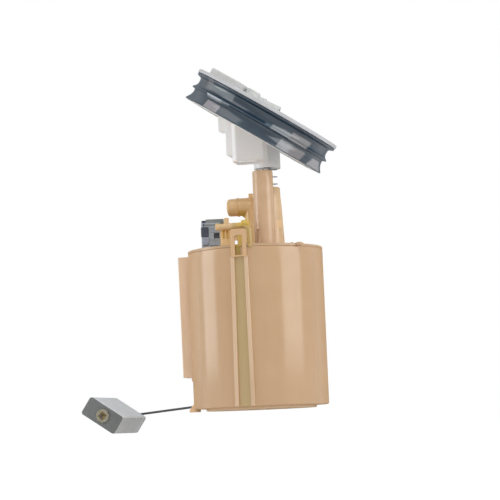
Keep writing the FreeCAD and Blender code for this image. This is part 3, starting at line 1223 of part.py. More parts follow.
def write_parts(pieces):
    """Checks every object and writes one file for each sub-part."""
    doc.recompute()
    for thing in doc.Objects:
        if "Invalid" in thing.State or "Error" in thing.State:
            raise RuntimeError("failed: %s %s" % (thing.Label, thing.State))
    os.makedirs("parts", exist_ok=True)
    for piece in pieces:
        shape = piece.Shape
        if shape.isNull() or not shape.isValid() or not shape.Solids:
            raise RuntimeError("bad shape: " + piece.Label)
        shape.exportStep("parts/%s.step" % piece.Label)
        print("%-20s solids %d  volume %9.1f" % (piece.Label, len(shape.Solids), shape.Volume))


fill_sheet()
pieces = [
    reservoir_cup(), base_plate(), inlet_screen(), floor_valve(), top_cover(), pump_holder(), guide_tube(),
    pump_case(), pump_inlet_cover(), impeller(), pump_chamber_plate(), pump_shaft(), armature(),
    commutator(), motor_magnets(), pump_end_cap(), pump_brushes(), check_poppet(), pump_isolator(),
    pump_strainer(), jet_pump(), outlet_elbow(), outlet_seal(), regulator_tower(),
    return_nipple(), wiring_receptacle(), wiring_plug(), flange_plate(), flange_columns(), flange_seal(),
    flange_connector(), flange_pins(), guide_rod(), rod_retainer(), guide_spring(), sender_plate(),
    sender_card(), sender_hub(), sender_wiper(), float_arm(), float_body(), float_nut(),
]
pieces += regulator_parts()
write_parts(pieces)
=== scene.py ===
# %% [markdown]
# # A fuel pump module
#
# This lesson dresses a fuel pump module: the unit that hangs in a petrol tank. A tan plastic cup holds
# the pump and a reserve of fuel, a white flange with a black lip seal closes the tank, and a float on a
# wire tells how full it is. The measured model comes in first and stays where it is. Then come the camera,
# the light and the finishes, and then the pieces one by one, the largest first.

# %% Load the measured model
import json
import math

import bpy
from mathutils import Matrix, Vector


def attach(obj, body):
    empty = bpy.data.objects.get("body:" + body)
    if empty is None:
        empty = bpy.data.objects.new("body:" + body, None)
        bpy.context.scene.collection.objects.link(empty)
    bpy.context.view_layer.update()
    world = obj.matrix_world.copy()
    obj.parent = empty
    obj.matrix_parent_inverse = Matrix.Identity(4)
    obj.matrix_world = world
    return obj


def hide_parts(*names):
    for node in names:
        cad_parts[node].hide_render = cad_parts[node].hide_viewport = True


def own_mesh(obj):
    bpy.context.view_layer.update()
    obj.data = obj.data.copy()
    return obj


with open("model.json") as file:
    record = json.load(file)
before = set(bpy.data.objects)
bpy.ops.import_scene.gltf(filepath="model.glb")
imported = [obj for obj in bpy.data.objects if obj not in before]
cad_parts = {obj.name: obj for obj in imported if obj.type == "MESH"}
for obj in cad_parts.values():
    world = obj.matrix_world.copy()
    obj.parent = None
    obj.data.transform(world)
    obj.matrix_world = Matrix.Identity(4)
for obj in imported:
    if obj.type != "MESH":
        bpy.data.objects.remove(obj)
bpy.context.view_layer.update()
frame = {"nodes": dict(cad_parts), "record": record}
MM = 0.001

# %% [markdown]
# ## Camera
#
# The photograph was taken from far away with a long lens, a little right of the front and from low down,
# so the rims show as flat arcs that bulge upwards. The camera was worked out from the rims of cup, base and
# flange. It could be framed by eye, but then a difference of view would look like a difference of shape.

# %% Put the camera where the photographer stood
camera_place = Vector((341.3, -1460.7, -18.1)) * MM
camera_azimuth, camera_pitch, camera_roll = 13.311, 5.704, 2.421


def shown(name, data):
    """Puts an object that holds the data into the scene."""
    thing = bpy.data.objects.new(name, data)
    bpy.context.scene.collection.objects.link(thing)
    return thing


camera = shown("camera", bpy.data.cameras.new("camera"))
camera.data.sensor_width = 36
camera.data.lens = 131.03
camera.data.clip_start, camera.data.clip_end = 0.05, 30
camera.location = camera_place
turn = Matrix.Rotation(math.radians(camera_azimuth), 4, "Z")
tip = Matrix.Rotation(math.radians(90 + camera_pitch), 4, "X")
roll = Matrix.Rotation(math.radians(-camera_roll), 4, "Z")
camera.rotation_euler = (turn @ tip @ roll).to_euler()
bpy.context.scene.camera = camera
print("camera", [round(v, 3) for v in camera.location], "lens", camera.data.lens)

# %% [markdown]
# ## Floor and light
#
# The picture is a studio cut-out: even light on white. A pale floor lies just under the camera, and both
# it and the sky are plain white, so lamps needn't burn them out. Two tall soft boxes stand left and right:
# on a round cup each shows as an upright pale band, which tells the eye that the plastic is smooth. A weak
# fill from the front lights the parts under the flange and is left out of the gloss.

# %% Nodes and their inputs
def feed(node, inputs):
    """Sets each input of a node, or links it where the value is another node's output."""
    for socket, value in inputs.items():
        if isinstance(value, bpy.types.NodeSocket):
            node.id_data.links.new(value, node.inputs[socket])
        else:
            node.inputs[socket].default_value = value


def add_node(tree, kind, inputs, output=0, **settings):
    """Adds a node, feeds it, and gives back one of its outputs."""
    node = tree.nodes.new("ShaderNode" + kind)
    for word, value in settings.items():
        setattr(node, word, value)
    feed(node, inputs)
    return node.outputs[output] if node.outputs else None


def eye_switch(tree):
    """A number that is 1 for rays from the camera, from gloss and through glass, and 0 for the rest."""
    rays = add_node(tree, "LightPath", {}).node.outputs
    total = rays["Is Camera Ray"]
    for ray in ("Is Glossy Ray", "Is Transmission Ray"):
        total = add_node(tree, "Math", {0: total, 1: rays[ray]}, operation="MAXIMUM")
    return total

# %% Light the sky and lay the floor
WHITE = (1, 1, 1, 1)
world = bpy.data.worlds.new("studio")
bpy.context.scene.world = world
world.use_nodes = True
tree = world.node_tree
tree.nodes.clear()
level = add_node(tree, "MapRange", {"To Min": 0.43, "To Max": 1.0, "Value": eye_switch(tree)}, "Result")
sky = add_node(tree, "Background", {"Color": WHITE, "Strength": level})
add_node(tree, "OutputWorld", {"Surface": sky})

floor_height = camera_place.z - 5 * MM
bpy.ops.object.select_all(action="DESELECT")
bpy.ops.mesh.primitive_plane_add(size=14, location=(0, 0, floor_height))
floor = bpy.context.object
floor.name = "floor"
floor_paint = bpy.data.materials.new("floor_paint")
floor_paint.use_nodes = True
tree = floor_paint.node_tree
tree.nodes.clear()
lift = add_node(tree, "Math", {0: eye_switch(tree), 1: 0.62}, operation="MULTIPLY")
glow = add_node(tree, "Emission", {"Color": WHITE, "Strength": lift})
matt = add_node(tree, "BsdfDiffuse", {"Color": (0.95, 0.95, 0.95, 1)})
add_node(tree, "OutputMaterial", {"Surface": add_node(tree, "AddShader", {0: matt, 1: glow})})
floor.data.materials.append(floor_paint)
print("floor at", round(floor_height / MM, 1), "mm")

# %% Hang the lamps
def soft_box(name, place, aim, width, height, power):
    lamp = shown(name, bpy.data.lights.new(name, "AREA"))
    lamp.data.shape = "RECTANGLE"
    lamp.data.size, lamp.data.size_y = width, height
    lamp.data.energy = power
    lamp.location = place
    lamp.rotation_euler = (Vector(aim) - Vector(place)).to_track_quat("-Z", "Y").to_euler()
    return lamp


def round_about(azimuth, distance, height):
    """A place at an angle to the right of the camera's line, in degrees."""
    angle = math.radians(camera_azimuth + azimuth)
    return (distance * math.sin(angle), -distance * math.cos(angle), height)


middle = (0, 0, 0.12)
soft_box("box_right", round_about(61, 1.6, 0.25), middle, 1.05, 1.3, 12.5)
soft_box("box_left", round_about(-88, 1.6, 0.25), middle, 0.8, 1.3, 10.5)
soft_box("top_light", round_about(-20, 0.9, 1.7), middle, 1.2, 1.2, 8.5)
fill = soft_box("front_fill", round_about(5, 2.2, 0.0), (0, 0, 0.15), 2.4, 1.6, 11)
fill.visible_glossy = False

# %% [markdown]
# ## Finishes
#
# Nearly all of a fuel pump module is moulded plastic. A mould leaves three marks: cloudy changes of
# shade where the melt mixed, faint streaks along its flow, and the fine grain of the steel. One recipe
# with these three marks, fed with different numbers, gives the tan acetal, the amber fittings, the white
# flange and the black plug. Metals and rubber have recipes of their own. The noise is read from Object
# coordinates, so it has one scale in millimetres on every piece.

# %% A small kit for node trees
def new_material(name):
    material = bpy.data.materials.new(name)
    material.use_nodes = True
    tree = material.node_tree
    return material, tree, tree.nodes["Principled BSDF"], add_node(tree, "TexCoord", {}, "Object")


def noise(place, grain, detail=3.0, stretch=None):
    """Noise whose blotches are about grain millimetres across, or stretched per axis."""
    if stretch:
        place = add_node(place.id_data, "Mapping", {"Scale": stretch, "Vector": place})
    return add_node(place.id_data, "TexNoise", {
        "Scale": 1 / (grain * MM), "Detail": detail, "Vector": place}, "Fac")


def remap(value, low, high, start=0.3, end=0.7):
    """Spreads a noise between two numbers."""
    return add_node(value.id_data, "MapRange", {
        "From Min": start, "From Max": end, "To Min": low, "To Max": high, "Value": value}, "Result")


def two_shades(value, first, second):
    """Mixes two colours, each either three numbers or another node's output."""
    pair = [c if isinstance(c, bpy.types.NodeSocket) else (*c, 1) for c in (first, second)]
    factor, colour_a, colour_b, colour_out = 0, 6, 7, 2
    return add_node(value.id_data, "Mix", {factor: value, colour_a: pair[0], colour_b: pair[1]},
                    colour_out, data_type="RGBA")


def linear(colour):
    """A colour picked in the photograph's 0 to 255 scale, as the shader wants it."""
    return tuple(((c / 255 + 0.055) / 1.055) ** 2.4 if c > 10 else c / 3294.6 for c in colour)


def bumped(shader, heights):
    """Chains bumps, each (height, strength, depth in millimetres), into the shader's normal."""
    chain = {}
    for height, strength, depth in heights:
        inputs = {"Strength": strength, "Distance": depth * MM, "Height": height}
        chain = {"Normal": add_node(shader.id_data, "Bump", {**inputs, **chain})}
    feed(shader, chain)

# %% The moulded plastic
def zone(place, limits, fade):
    """1 between the (low, high) limits of X, Y and Z, fading to 0 over fade millimetres."""
    tree = place.id_data
    split = add_node(tree, "SeparateXYZ", {0: place}).node.outputs
    total = None
    for axis, (low, high) in enumerate(limits):
        for start, end in ((low - fade / 2, low + fade / 2), (high + fade / 2, high - fade / 2)):
            edge = remap(split[axis], 0, 1, start * MM, end * MM)
            total = add_node(tree, "Math", {0: total, 1: edge}, operation="MULTIPLY") if total else edge
    return total


def matt_at_grazing(shader, rough, more):
    """Adds to the roughness where the surface turns away, so that a rim is no mirror of the white room."""
    facing = add_node(shader.id_data, "LayerWeight", {}, "Facing")
    inputs = {0: remap(facing, 0, more, 0.45, 0.78), 1: rough}
    feed(shader, {"Roughness": add_node(shader.id_data, "Math", inputs)})


def moulded(name, colour, shade, rough, grain_depth=0.012, cloud=9.0, inner=0.0, painted_light_zones=()):
    """Moulded plastic: colour to shade in clouds, streaks along the flow, and a fine grain.

    Zones are (limits, fade, colour): painted light and shade, boxes made lighter or darker than the plastic.
    """
    material, tree, shader, place = new_material(name)
    colour, shade = linear(colour), linear(shade)
    clouds = noise(place, cloud, 4)
    streaks = noise(place, cloud * 0.35, 3, (1, 1, 0.12))
    base = two_shades(remap(clouds, 0, 1), colour, shade)
    for limits, fade, tint in painted_light_zones:
        base = two_shades(zone(place, limits, fade), base, linear(tint))
    darker = tuple(c * 0.93 for c in shade)
    base = two_shades(remap(streaks, 0, 0.35, 0.45, 0.75), base, darker)
    feed(shader, {"Base Color": base, "Specular IOR Level": 0.5, "IOR": 1.48})
    matt_at_grazing(shader, remap(noise(place, cloud * 0.5, 5), rough * 0.85, rough * 1.25), 0.75)
    bumped(shader, [(noise(place, 18, 1), 0.12, 0.25), (noise(place, 0.45, 2), 0.35, grain_depth)])
    if inner:
        feed(shader, {"Subsurface Weight": inner, "Subsurface Radius": (1.0, 0.75, 0.5),
                      "Subsurface Scale": 2.5 * MM})
    return material


# Painted light and shade on the cup: darker olive in the groove between the front ribs and on the wall in
# shadow behind the strap's window; lighter on the rib and strap fronts, side rail and side foot.
tan_acetal = moulded("tan_acetal", (200, 165, 128), (196, 161, 123), 0.16, cloud=22, inner=0.12, painted_light_zones=(
    (((-4.6, 4.6), (-56.4, -52), (0, 122)), 0.8, (192, 167, 120)),
    (((-3.2, 1.2), (-56.4, -52), (122.4, 131)), 0.6, (168, 140, 62)),
    (((-9, 9), (-70, -56.6), (0, 121)), 0.6, (216, 186, 154)),
    (((-9, 9), (-70, -56.6), (121, 150)), 0.6, (212, 174, 130)),
    (((-70, -55.9), (-7, 7), (12, 140)), 0.6, (224, 194, 162)),
    (((-64, -54), (-7, 7), (-1, 12)), 1.0, (230, 192, 146))))
tower_acetal = moulded("tower_acetal", (210, 177, 143), (204, 168, 131), 0.18, cloud=10, inner=0.15)
# Painted shade on the cover: darker olive on its hook, where it lies in shadow behind the strap's window.
cover_acetal = moulded("cover_acetal", (204, 171, 135), (198, 163, 125), 0.2, cloud=10, inner=0.15, painted_light_zones=(
    (((-3.2, 3.2), (-60, -53), (120, 141)), 0.5, (204, 168, 72)),))
# Painted light on the guide tube: a glowing patch high on its front and a pale strip below it.
tube_acetal = moulded("tube_acetal", (230, 197, 155), (224, 188, 144), 0.2, cloud=8, inner=0.2, painted_light_zones=(
    (((13.6, 17.2), (10, 34), (152, 158.4)), 0.5, (240, 202, 152)),
    (((13.6, 15.0), (10, 34), (133, 152)), 0.5, (238, 206, 164))))
amber_nylon = moulded("amber_nylon", (246, 210, 158), (238, 200, 138), 0.24, cloud=4, inner=0.2)
# A darker amber for behind the receptacle's slots: painted shade.
shaded_slot_amber = moulded("shaded_slot_amber", (246, 204, 108), (232, 186, 86), 0.3, cloud=4, inner=0.2)
# The elbow's acetal is lighter than the cup's, partly painted light for its place under the flange. Painted
# light on the riser and painted shade, a darker olive, under the spigot.
elbow_acetal = moulded("elbow_acetal", (232, 194, 144), (224, 185, 128), 0.22, cloud=6, inner=0.15, painted_light_zones=(
    (((-9, 9), (-9, 9), (128, 156)), 8.0, (242, 212, 162)),
    (((-12, -5), (-9, 9), (150, 164)), 3.0, (214, 180, 92)),))
# Painted light and shade on the return nipple: lighter along its level run, darker olive at its bend.
olive_nylon = moulded("olive_nylon", (200, 170, 112), (188, 160, 94), 0.26, cloud=4, inner=0.2, painted_light_zones=(
    (((-24, -7), (-50, -40), (140, 160)), 3.0, (216, 182, 136)),
    (((-3, 7), (-50, -40), (147, 160)), 1.0, (214, 180, 84))))
white_nylon = moulded("white_nylon", (238, 238, 237), (230, 230, 228), 0.28, cloud=14, inner=0.25)
grey_nylon = moulded("grey_nylon", (212, 213, 212), (200, 201, 200), 0.34, cloud=8, inner=0.2)
plug_grey = moulded("plug_grey", (174, 182, 188), (152, 161, 170), 0.3, cloud=5)
# The columns' nylon is a brighter copy of the white nylon, painted light for parts in the flange's shadow,
# with painted shade, a greyer tone, on the block's front face.
column_nylon = moulded("column_nylon", (250, 250, 250), (244, 244, 243), 0.3, cloud=14, inner=0.4, painted_light_zones=(
    (((-9.5, 14), (-14, -12.7), (200, 250)), 0.6, (232, 229, 228)),))
column_nylon.node_tree.nodes["Principled BSDF"].inputs["Subsurface Scale"].default_value = 9 * MM
# A darker copy of the white nylon for the outside of the flange's rim: painted shade.
shaded_rim_nylon = moulded("shaded_rim_nylon", (198, 199, 202), (190, 191, 194), 0.3, cloud=14)
base_acetal = moulded("base_acetal", (220, 192, 158), (214, 184, 148), 0.4, cloud=22)
sheen_grey = moulded("sheen_grey", (160, 165, 178), (128, 134, 150), 0.25, cloud=3)
# A darker copy of the plug's grey for the bars on its top: painted shade.
shaded_latch_grey = moulded("shaded_latch_grey", (134, 138, 134), (116, 120, 118), 0.3, cloud=5)
black_nylon = moulded("black_nylon", (64, 68, 84), (48, 52, 64), 0.26, cloud=5)
print("moulded plastics:", len(bpy.data.materials) - 1)

# %% Rubber, foam and metal
def rubber(name, colour, bloom, rough, frame_at=None, painted_light_zones=()):
    """Rubber with a pale bloom in patches and a soft grain.

    Zones are read in the frame_at matrix: painted reflections, pale patches where the gloss mirrors the
    lamps.
    """
    material, tree, shader, place = new_material(name)
    patches = noise(place, 16, 5)
    base = two_shades(remap(patches, 0, 1, 0.38, 0.72), linear(colour), linear(bloom))
    if painted_light_zones:
        back = frame_at.inverted()
        inside = add_node(tree, "Mapping", {
            "Rotation": back.to_euler(), "Location": back.translation, "Vector": place})
        for limits, fade, tint in painted_light_zones:
            base = two_shades(zone(inside, limits, fade), base, linear(tint))
    feed(shader, {"Base Color": base})
    matt_at_grazing(shader, remap(noise(place, 7, 4), rough * 0.8, rough * 1.3), 0.4)
    bumped(shader, [(noise(place, 5, 3), 0.2, 0.2), (noise(place, 0.3, 2), 0.4, 0.015)])
    return material


def foam(name, skin, pore):
    """Closed-cell foam: a moulded skin with tiny open pores and scuffs."""
    material, tree, shader, place = new_material(name)
    skin = linear(skin)
    cells = add_node(tree, "TexVoronoi", {"Scale": 1 / (0.9 * MM), "Vector": place}, "Distance")
    base = two_shades(remap(cells, 1, 0, 0.08, 0.28), skin, linear(pore))
    scuffed = two_shades(remap(noise(place, 8, 6), 0, 0.6, 0.5, 0.75), base,
                         tuple(min(1, c * 1.15) for c in skin))
    feed(shader, {"Base Color": scuffed, "Roughness": remap(noise(place, 3, 4), 0.55, 0.8)})
    bumped(shader, [(cells, 0.5, 0.08), (noise(place, 6, 3), 0.3, 0.15)])
    return material


def metal(name, colour, tarnish, rough, flow=(1, 1, 1)):
    """Metal with draw lines and a light tarnish in patches."""
    material, tree, shader, place = new_material(name)
    base = two_shades(remap(noise(place, 4, 5), 0, 1, 0.4, 0.75), colour, tarnish)
    feed(shader, {"Base Color": base, "Metallic": 1.0,
                  "Roughness": remap(noise(place, 1.5, 4, flow), rough * 0.7, rough * 1.4)})
    bumped(shader, [(noise(place, 0.35, 3, flow), 0.3, 0.01)])
    return material


flange_frame = Matrix.Translation((16.6 * MM, 0, 249.6 * MM)) @ Matrix.Rotation(math.radians(32.9), 4, "Y")
FRONT = (-70, 0)
# Painted reflections on the seal: pale patches and streaks on its bead and lips, as glossy rubber shows
# lamps.
seal_rubber = rubber("seal_rubber", (26, 46, 62), (40, 60, 76), 0.16, flange_frame, (
    (((-33, -19), FRONT, (-26, -19.5)), 0.8, (146, 143, 148)),
    (((-42, -36), FRONT, (-12, -4)), 2.5, (112, 112, 116)),
    (((-38, -12), FRONT, (-11.5, -6.5)), 2.0, (118, 128, 134)),
    (((-36, -20), FRONT, (-16.4, -15.0)), 0.8, (190, 198, 206)),
    (((-21, -12), FRONT, (-16.2, -15.3)), 0.6, (150, 162, 172)),
    (((21, 30), FRONT, (-14.6, -12.8)), 1.6, (100, 116, 128)),
    (((26, 42), FRONT, (-15.2, -11.6)), 1.0, (146, 152, 157)),
    (((41, 54), FRONT, (-16.0, -9.0)), 1.2, (132, 132, 134)),
    (((36, 46), FRONT, (-26, -18.0)), 0.8, (134, 137, 141)),
    (((45, 54), FRONT, (-26, -18.5)), 1.2, (124, 121, 123)),
    (((58.5, 66), FRONT, (-26, -19)), 1.0, (146, 146, 150))))
seal_rubber.node_tree.nodes["Principled BSDF"].inputs["Specular IOR Level"].default_value = 0.6
soft_rubber = rubber("soft_rubber", (40, 40, 42), (58, 58, 60), 0.5)
float_foam = foam("float_foam", (222, 230, 236), (202, 210, 216))
# The next two foams are darker copies of the float's foam: painted shade for its lower faces and its ends.
float_shaded_side = foam("float_shaded_side", (186, 190, 192), (164, 168, 171))
float_shaded_end = foam("float_shaded_end", (110, 113, 112), (70, 73, 76))
spring_steel = metal("spring_steel", (0.45, 0.46, 0.48), (0.28, 0.28, 0.29), 0.25)
bright_steel = metal("bright_steel", (0.62, 0.62, 0.63), (0.45, 0.45, 0.46), 0.22, (1, 1, 0.1))
can_steel = metal("can_steel", (0.66, 0.66, 0.65), (0.5, 0.5, 0.49), 0.3, (1, 1, 0.08))
wire_steel = metal("wire_steel", (0.09, 0.09, 0.1), (0.06, 0.06, 0.065), 0.4)
brass = metal("brass", (0.27, 0.25, 0.19), (0.2, 0.18, 0.135), 0.42)
# The nut's teeth get a darker brass than its disc.
dark_teeth_brass = metal("dark_teeth_brass", (0.26, 0.2, 0.09), (0.14, 0.11, 0.06), 0.35)
copper = metal("copper", (0.78, 0.42, 0.26), (0.55, 0.3, 0.2), 0.28)
tin = metal("tin", (0.78, 0.78, 0.77), (0.62, 0.62, 0.6), 0.28)
iron = metal("iron", (0.3, 0.3, 0.31), (0.2, 0.17, 0.15), 0.5)
print("other finishes:", seal_rubber.name, float_foam.name, brass.name)

# %% Finishes of the hidden pieces
ferrite = moulded("ferrite", (70, 70, 74), (56, 56, 60), 0.5, 0.03, 3)
carbon = moulded("carbon", (52, 52, 54), (38, 38, 40), 0.45, 0.02, 2)
pump_nylon = moulded("pump_nylon", (74, 76, 80), (60, 62, 66), 0.35, cloud=5)
impeller_resin = moulded("impeller_resin", (120, 84, 52), (98, 66, 40), 0.4, cloud=3)
ceramic_card = moulded("ceramic_card", (232, 228, 216), (214, 208, 192), 0.45, 0.02, 3)


def woven(name, colour, gap, pitch):
    """Filter cloth: two crossing sets of threads, with dark gaps between them."""
    material, tree, shader, place = new_material(name)
    threads = {}
    for number, turn_z in enumerate((0, math.pi / 2)):
        turned_place = add_node(tree, "Mapping", {"Rotation": (0, 0, turn_z), "Vector": place})
        threads[number] = add_node(tree, "TexWave", {
            "Scale": 1 / (pitch * MM) / 3.1, "Distortion": 0.4, "Vector": turned_place}, "Fac")
    weave = add_node(tree, "Math", threads, operation="MAXIMUM")
    base = two_shades(remap(weave, 0, 1, 0.35, 0.8), linear(gap), linear(colour))
    feed(shader, {"Base Color": base, "Roughness": remap(noise(place, 3, 3), 0.6, 0.8)})
    bumped(shader, [(weave, 0.6, 0.08)])
    return material


filter_cloth = woven("filter_cloth", (226, 224, 214), (150, 148, 140), 0.5)
screen_mesh = woven("screen_mesh", (200, 196, 184), (90, 88, 80), 0.8)
finishes = {
    "cup": tan_acetal, "base": base_acetal, "cover": cover_acetal, "screen": screen_mesh,
    "valve_rubber": soft_rubber, "rubber": soft_rubber, "pump_steel": can_steel,
    "pump_plastic": pump_nylon, "impeller": impeller_resin, "steel": bright_steel, "iron": iron,
    "copper": copper, "ferrite": ferrite, "carbon": carbon, "brass": brass, "mesh_sock": filter_cloth,
    "amber": amber_nylon, "spring": spring_steel, "plug": black_nylon, "flange": white_nylon,
    "seal": seal_rubber, "socket": grey_nylon, "pins": tin, "card": ceramic_card, "arm": wire_steel,
    "float": float_foam,
}
for part in frame["record"]["subparts"]:
    node = frame["nodes"][part["node"]]
    node.data.materials.clear()
    node.data.materials.append(finishes[part["material_slot"]])

# %% [markdown]
# ## Modelling kit
#
# Most pieces were turned or cut from flat plates in the mould maker's shop, so two ways of starting cover
# nearly everything. A turned piece starts as a disc whose rim is pulled up ring by ring, as on a lathe. A
# flat piece starts as an outline that gets its thickness. The Bevel modifier then rounds the edges a
# little, because no moulded edge is perfectly sharp and the small round catches light.

# %% Selecting, settling and softening
def nothing_selected():
    if bpy.context.object and bpy.context.object.mode != "OBJECT":
        bpy.ops.object.mode_set(mode="OBJECT")
    bpy.ops.object.select_all(action="DESELECT")


def pick(piece):
    nothing_selected()
    piece.select_set(True)
    bpy.context.view_layer.objects.active = piece
    return piece


def settle(piece):
    """Moves the object's place, turn and size into its mesh."""
    pick(piece)
    bpy.ops.object.transform_apply(location=True, rotation=True, scale=True)
    return piece


def apply_modifier(piece, kind, **values):
    pick(piece)
    modifier = piece.modifiers.new(kind.lower(), kind)
    for word, value in values.items():
        setattr(modifier, word, value)
    bpy.ops.object.modifier_apply(modifier=modifier.name)
    return piece


def soften(piece, width, segments=3, angle=35):
    """Rounds every edge sharper than the angle, and smooths the shading of the rest."""
    apply_modifier(piece, "BEVEL", width=width * MM, segments=segments, limit_method="ANGLE",
                   angle_limit=math.radians(angle), use_clamp_overlap=True)
    return smooth(piece, angle)


def edit_all(piece):
    """Opens a piece for editing with all of it selected."""
    pick(piece)
    bpy.ops.object.mode_set(mode="EDIT")
    bpy.ops.mesh.select_all(action="SELECT")


def outward(piece):
    """Merges doubled corners and turns all faces outwards."""
    edit_all(piece)
    bpy.ops.mesh.remove_doubles(threshold=0.002 * MM)
    bpy.ops.mesh.normals_make_consistent(inside=False)
    bpy.ops.object.mode_set(mode="OBJECT")
    return piece


def smooth(piece, angle=30):
    pick(piece)
    bpy.ops.object.shade_smooth_by_angle(angle=math.radians(angle))
    return piece


def one_piece(name, *pieces):
    """Joins pieces into the first."""
    nothing_selected()
    for piece in pieces:
        piece.select_set(True)
    bpy.context.view_layer.objects.active = pieces[0]
    bpy.ops.object.join()
    pieces[0].name = pieces[0].data.name = name
    return pieces[0]


def carve(piece, *tools, operation="DIFFERENCE"):
    """Cuts tools out of a piece, or melts them in, and throws the tools away."""
    for tool in tools:
        apply_modifier(piece, "BOOLEAN", object=tool, operation=operation, solver="EXACT")
        bpy.data.objects.remove(tool)
    return piece


def melt(piece, *tools):
    return carve(piece, *tools, operation="UNION")


def paint(piece, finish):
    piece.data.materials.clear()
    piece.data.materials.append(finish)
    return piece


def dress(piece, finish, body, *nodes):
    """Gives the finish, if it isn't painted yet, ties the piece to its body and hides its CAD nodes."""
    if finish:
        paint(piece, finish)
    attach(piece, body)
    if nodes:
        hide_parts(*nodes)
    print(piece.name, "faces:", len(piece.data.polygons))
    return piece

# %% A turned piece and a bar
def ring(name, radius, sides, place, fill_type="NGON"):
    """Starts a piece as a disc or a bare ring, and opens it for editing."""
    nothing_selected()
    bpy.ops.mesh.primitive_circle_add(vertices=sides, radius=radius * MM, location=Vector(place) * MM,
                                      fill_type=fill_type)
    piece = settle(bpy.context.object)
    piece.name = piece.data.name = name
    edit_all(piece)
    return piece


def pull(x, y, z):
    """Pulls the selected ring along."""
    bpy.ops.mesh.extrude_region_move(TRANSFORM_OT_translate={"value": (x * MM, y * MM, z * MM)})


def turned(name, rings, sides=128, closed=False):
    """Pulls a disc up through rings of (radius, height). Closed rings end where they began."""
    radius, height = rings[0]
    piece = ring(name, radius, sides, (0, 0, height), "NOTHING" if closed else "NGON")
    for new_radius, new_height in rings[1:] + (rings[:1] if closed else []):
        pull(0, 0, new_height - height)
        grow = new_radius / radius
        bpy.ops.transform.resize(value=(grow, grow, 1), center_override=(0, 0, new_height * MM))
        radius, height = new_radius, new_height
    bpy.ops.object.mode_set(mode="OBJECT")
    return outward(piece)


def bar(name, low, high, rounding=0.0, segments=3):
    """A straight bar between two corners in millimetres, with rounded edges if wanted."""
    nothing_selected()
    low, high = Vector(low) * MM, Vector(high) * MM
    bpy.ops.mesh.primitive_cube_add(size=1, location=(low + high) / 2)
    piece = bpy.context.object
    piece.scale = high - low
    piece.name = piece.data.name = name
    settle(piece)
    return soften(piece, rounding, segments) if rounding else piece


def flat(name, outlines, thick):
    """An outline in X and Y, with holes as further outlines, that rises thick millimetres in Z."""
    curve = bpy.data.curves.new(name, "CURVE")
    curve.dimensions = "2D"
    curve.fill_mode = "BOTH"
    for corners in outlines:
        spline = curve.splines.new("POLY")
        spline.points.add(len(corners) - 1)
        for point, (x, y) in zip(spline.points, corners):
            point.co = (x * MM, y * MM, 0, 1)
        spline.use_cyclic_u = True
    curve.extrude = thick / 2 * MM
    pick(shown(name, curve))
    bpy.ops.object.convert(target="MESH")
    piece = bpy.context.object
    piece.location.z = thick / 2 * MM
    return outward(settle(piece))


def laid(piece, matrix):
    """Places a finished piece by a matrix, into its mesh."""
    piece.matrix_world = matrix
    return settle(piece)


# Both stand a flat outline up, one with its thickness towards the front and one towards +X.
STAND_FRONT = Matrix(((1, 0, 0, 0), (0, 0, -1, 0), (0, 1, 0, 0), (0, 0, 0, 1)))
STAND_SIDE = Matrix(((0, 0, 1, 0), (1, 0, 0, 0), (0, 1, 0, 0), (0, 0, 0, 1)))


def at(x, y, z=0):
    return Matrix.Translation(Vector((x, y, z)) * MM)


def turned_by(angle, axis):
    return Matrix.Rotation(math.radians(angle), 4, axis)


def drill(piece, x, y, radius, low, high, sides=96):
    return carve(piece, laid(turned("drill", [(radius, low), (radius, high)], sides), at(x, y)))

# %% Outlines
def arc(x, y, radius, start, end, steps):
    """Points on an arc about (x, y), between two angles in degrees."""
    angles = [math.radians(start + (end - start) * step / steps) for step in range(steps + 1)]
    return [(x + radius * math.cos(angle), y + radius * math.sin(angle)) for angle in angles]


def sector(inner, outer, start, end, steps):
    """The outline of a ring sector between two angles."""
    return arc(0, 0, outer, start, end, steps) + arc(0, 0, inner, end, start, steps)


def rounded(corner_low, corner_high, radius):
    """The outline of a rectangle with its two upper corners rounded."""
    (left, low), (right, high) = corner_low, corner_high
    return ([(left, low), (right, low)] + arc(right - radius, high - radius, radius, 0, 90, 4)
            + arc(left + radius, high - radius, radius, 90, 180, 4))


print("kit ready")

# %% [markdown]
# ## The reservoir cup
#
# The cup is a drum of tan acetal with a barely tapered wall. It could be a cylinder with a Solidify
# modifier, but pulling its rings up one by one gives the wall, the rim, the foot and the inner corner in one
# go. The front rail is two ribs that part a little towards the foot, with a snap strap that rises from
# them over the cover. A slotted rail runs down the left side, and the level sender's seat is at the back.

# %% Turn the cup
CUP_FOOT, CUP_RIM, CUP_RADIUS = 2.0, 129.3, 55.5
cup = turned("cup", [
    (0.8, CUP_FOOT), (30, CUP_FOOT), (53.7, CUP_FOOT), (54.8, 2.25), (55.35, 2.8), (CUP_RADIUS, 3.6),
    (55.6, 62), (55.66, 121.5), (55.68, 128.6), (55.5, 129.1), (55.1, CUP_RIM), (54.2, CUP_RIM),
    (53.8, 129.0), (53.7, 128.4), (53.1, 7.5), (52.6, 5.6), (51.4, 4.6), (50, 4.5), (0.8, 4.5)], 192)
smooth(cup)
print("cup rings done")

# %% Front ribs and snap strap
def front_rib(side):
    top, foot, rib = 3.9, 5.0, 3.2
    corners = [(side * top, 122), (side * (top + rib), 122), (side * (foot + rib), 2.3), (side * foot, 2.3)]
    return soften(laid(flat("rib", [corners], 3.55), at(0, -54.0) @ STAND_FRONT), 0.55)


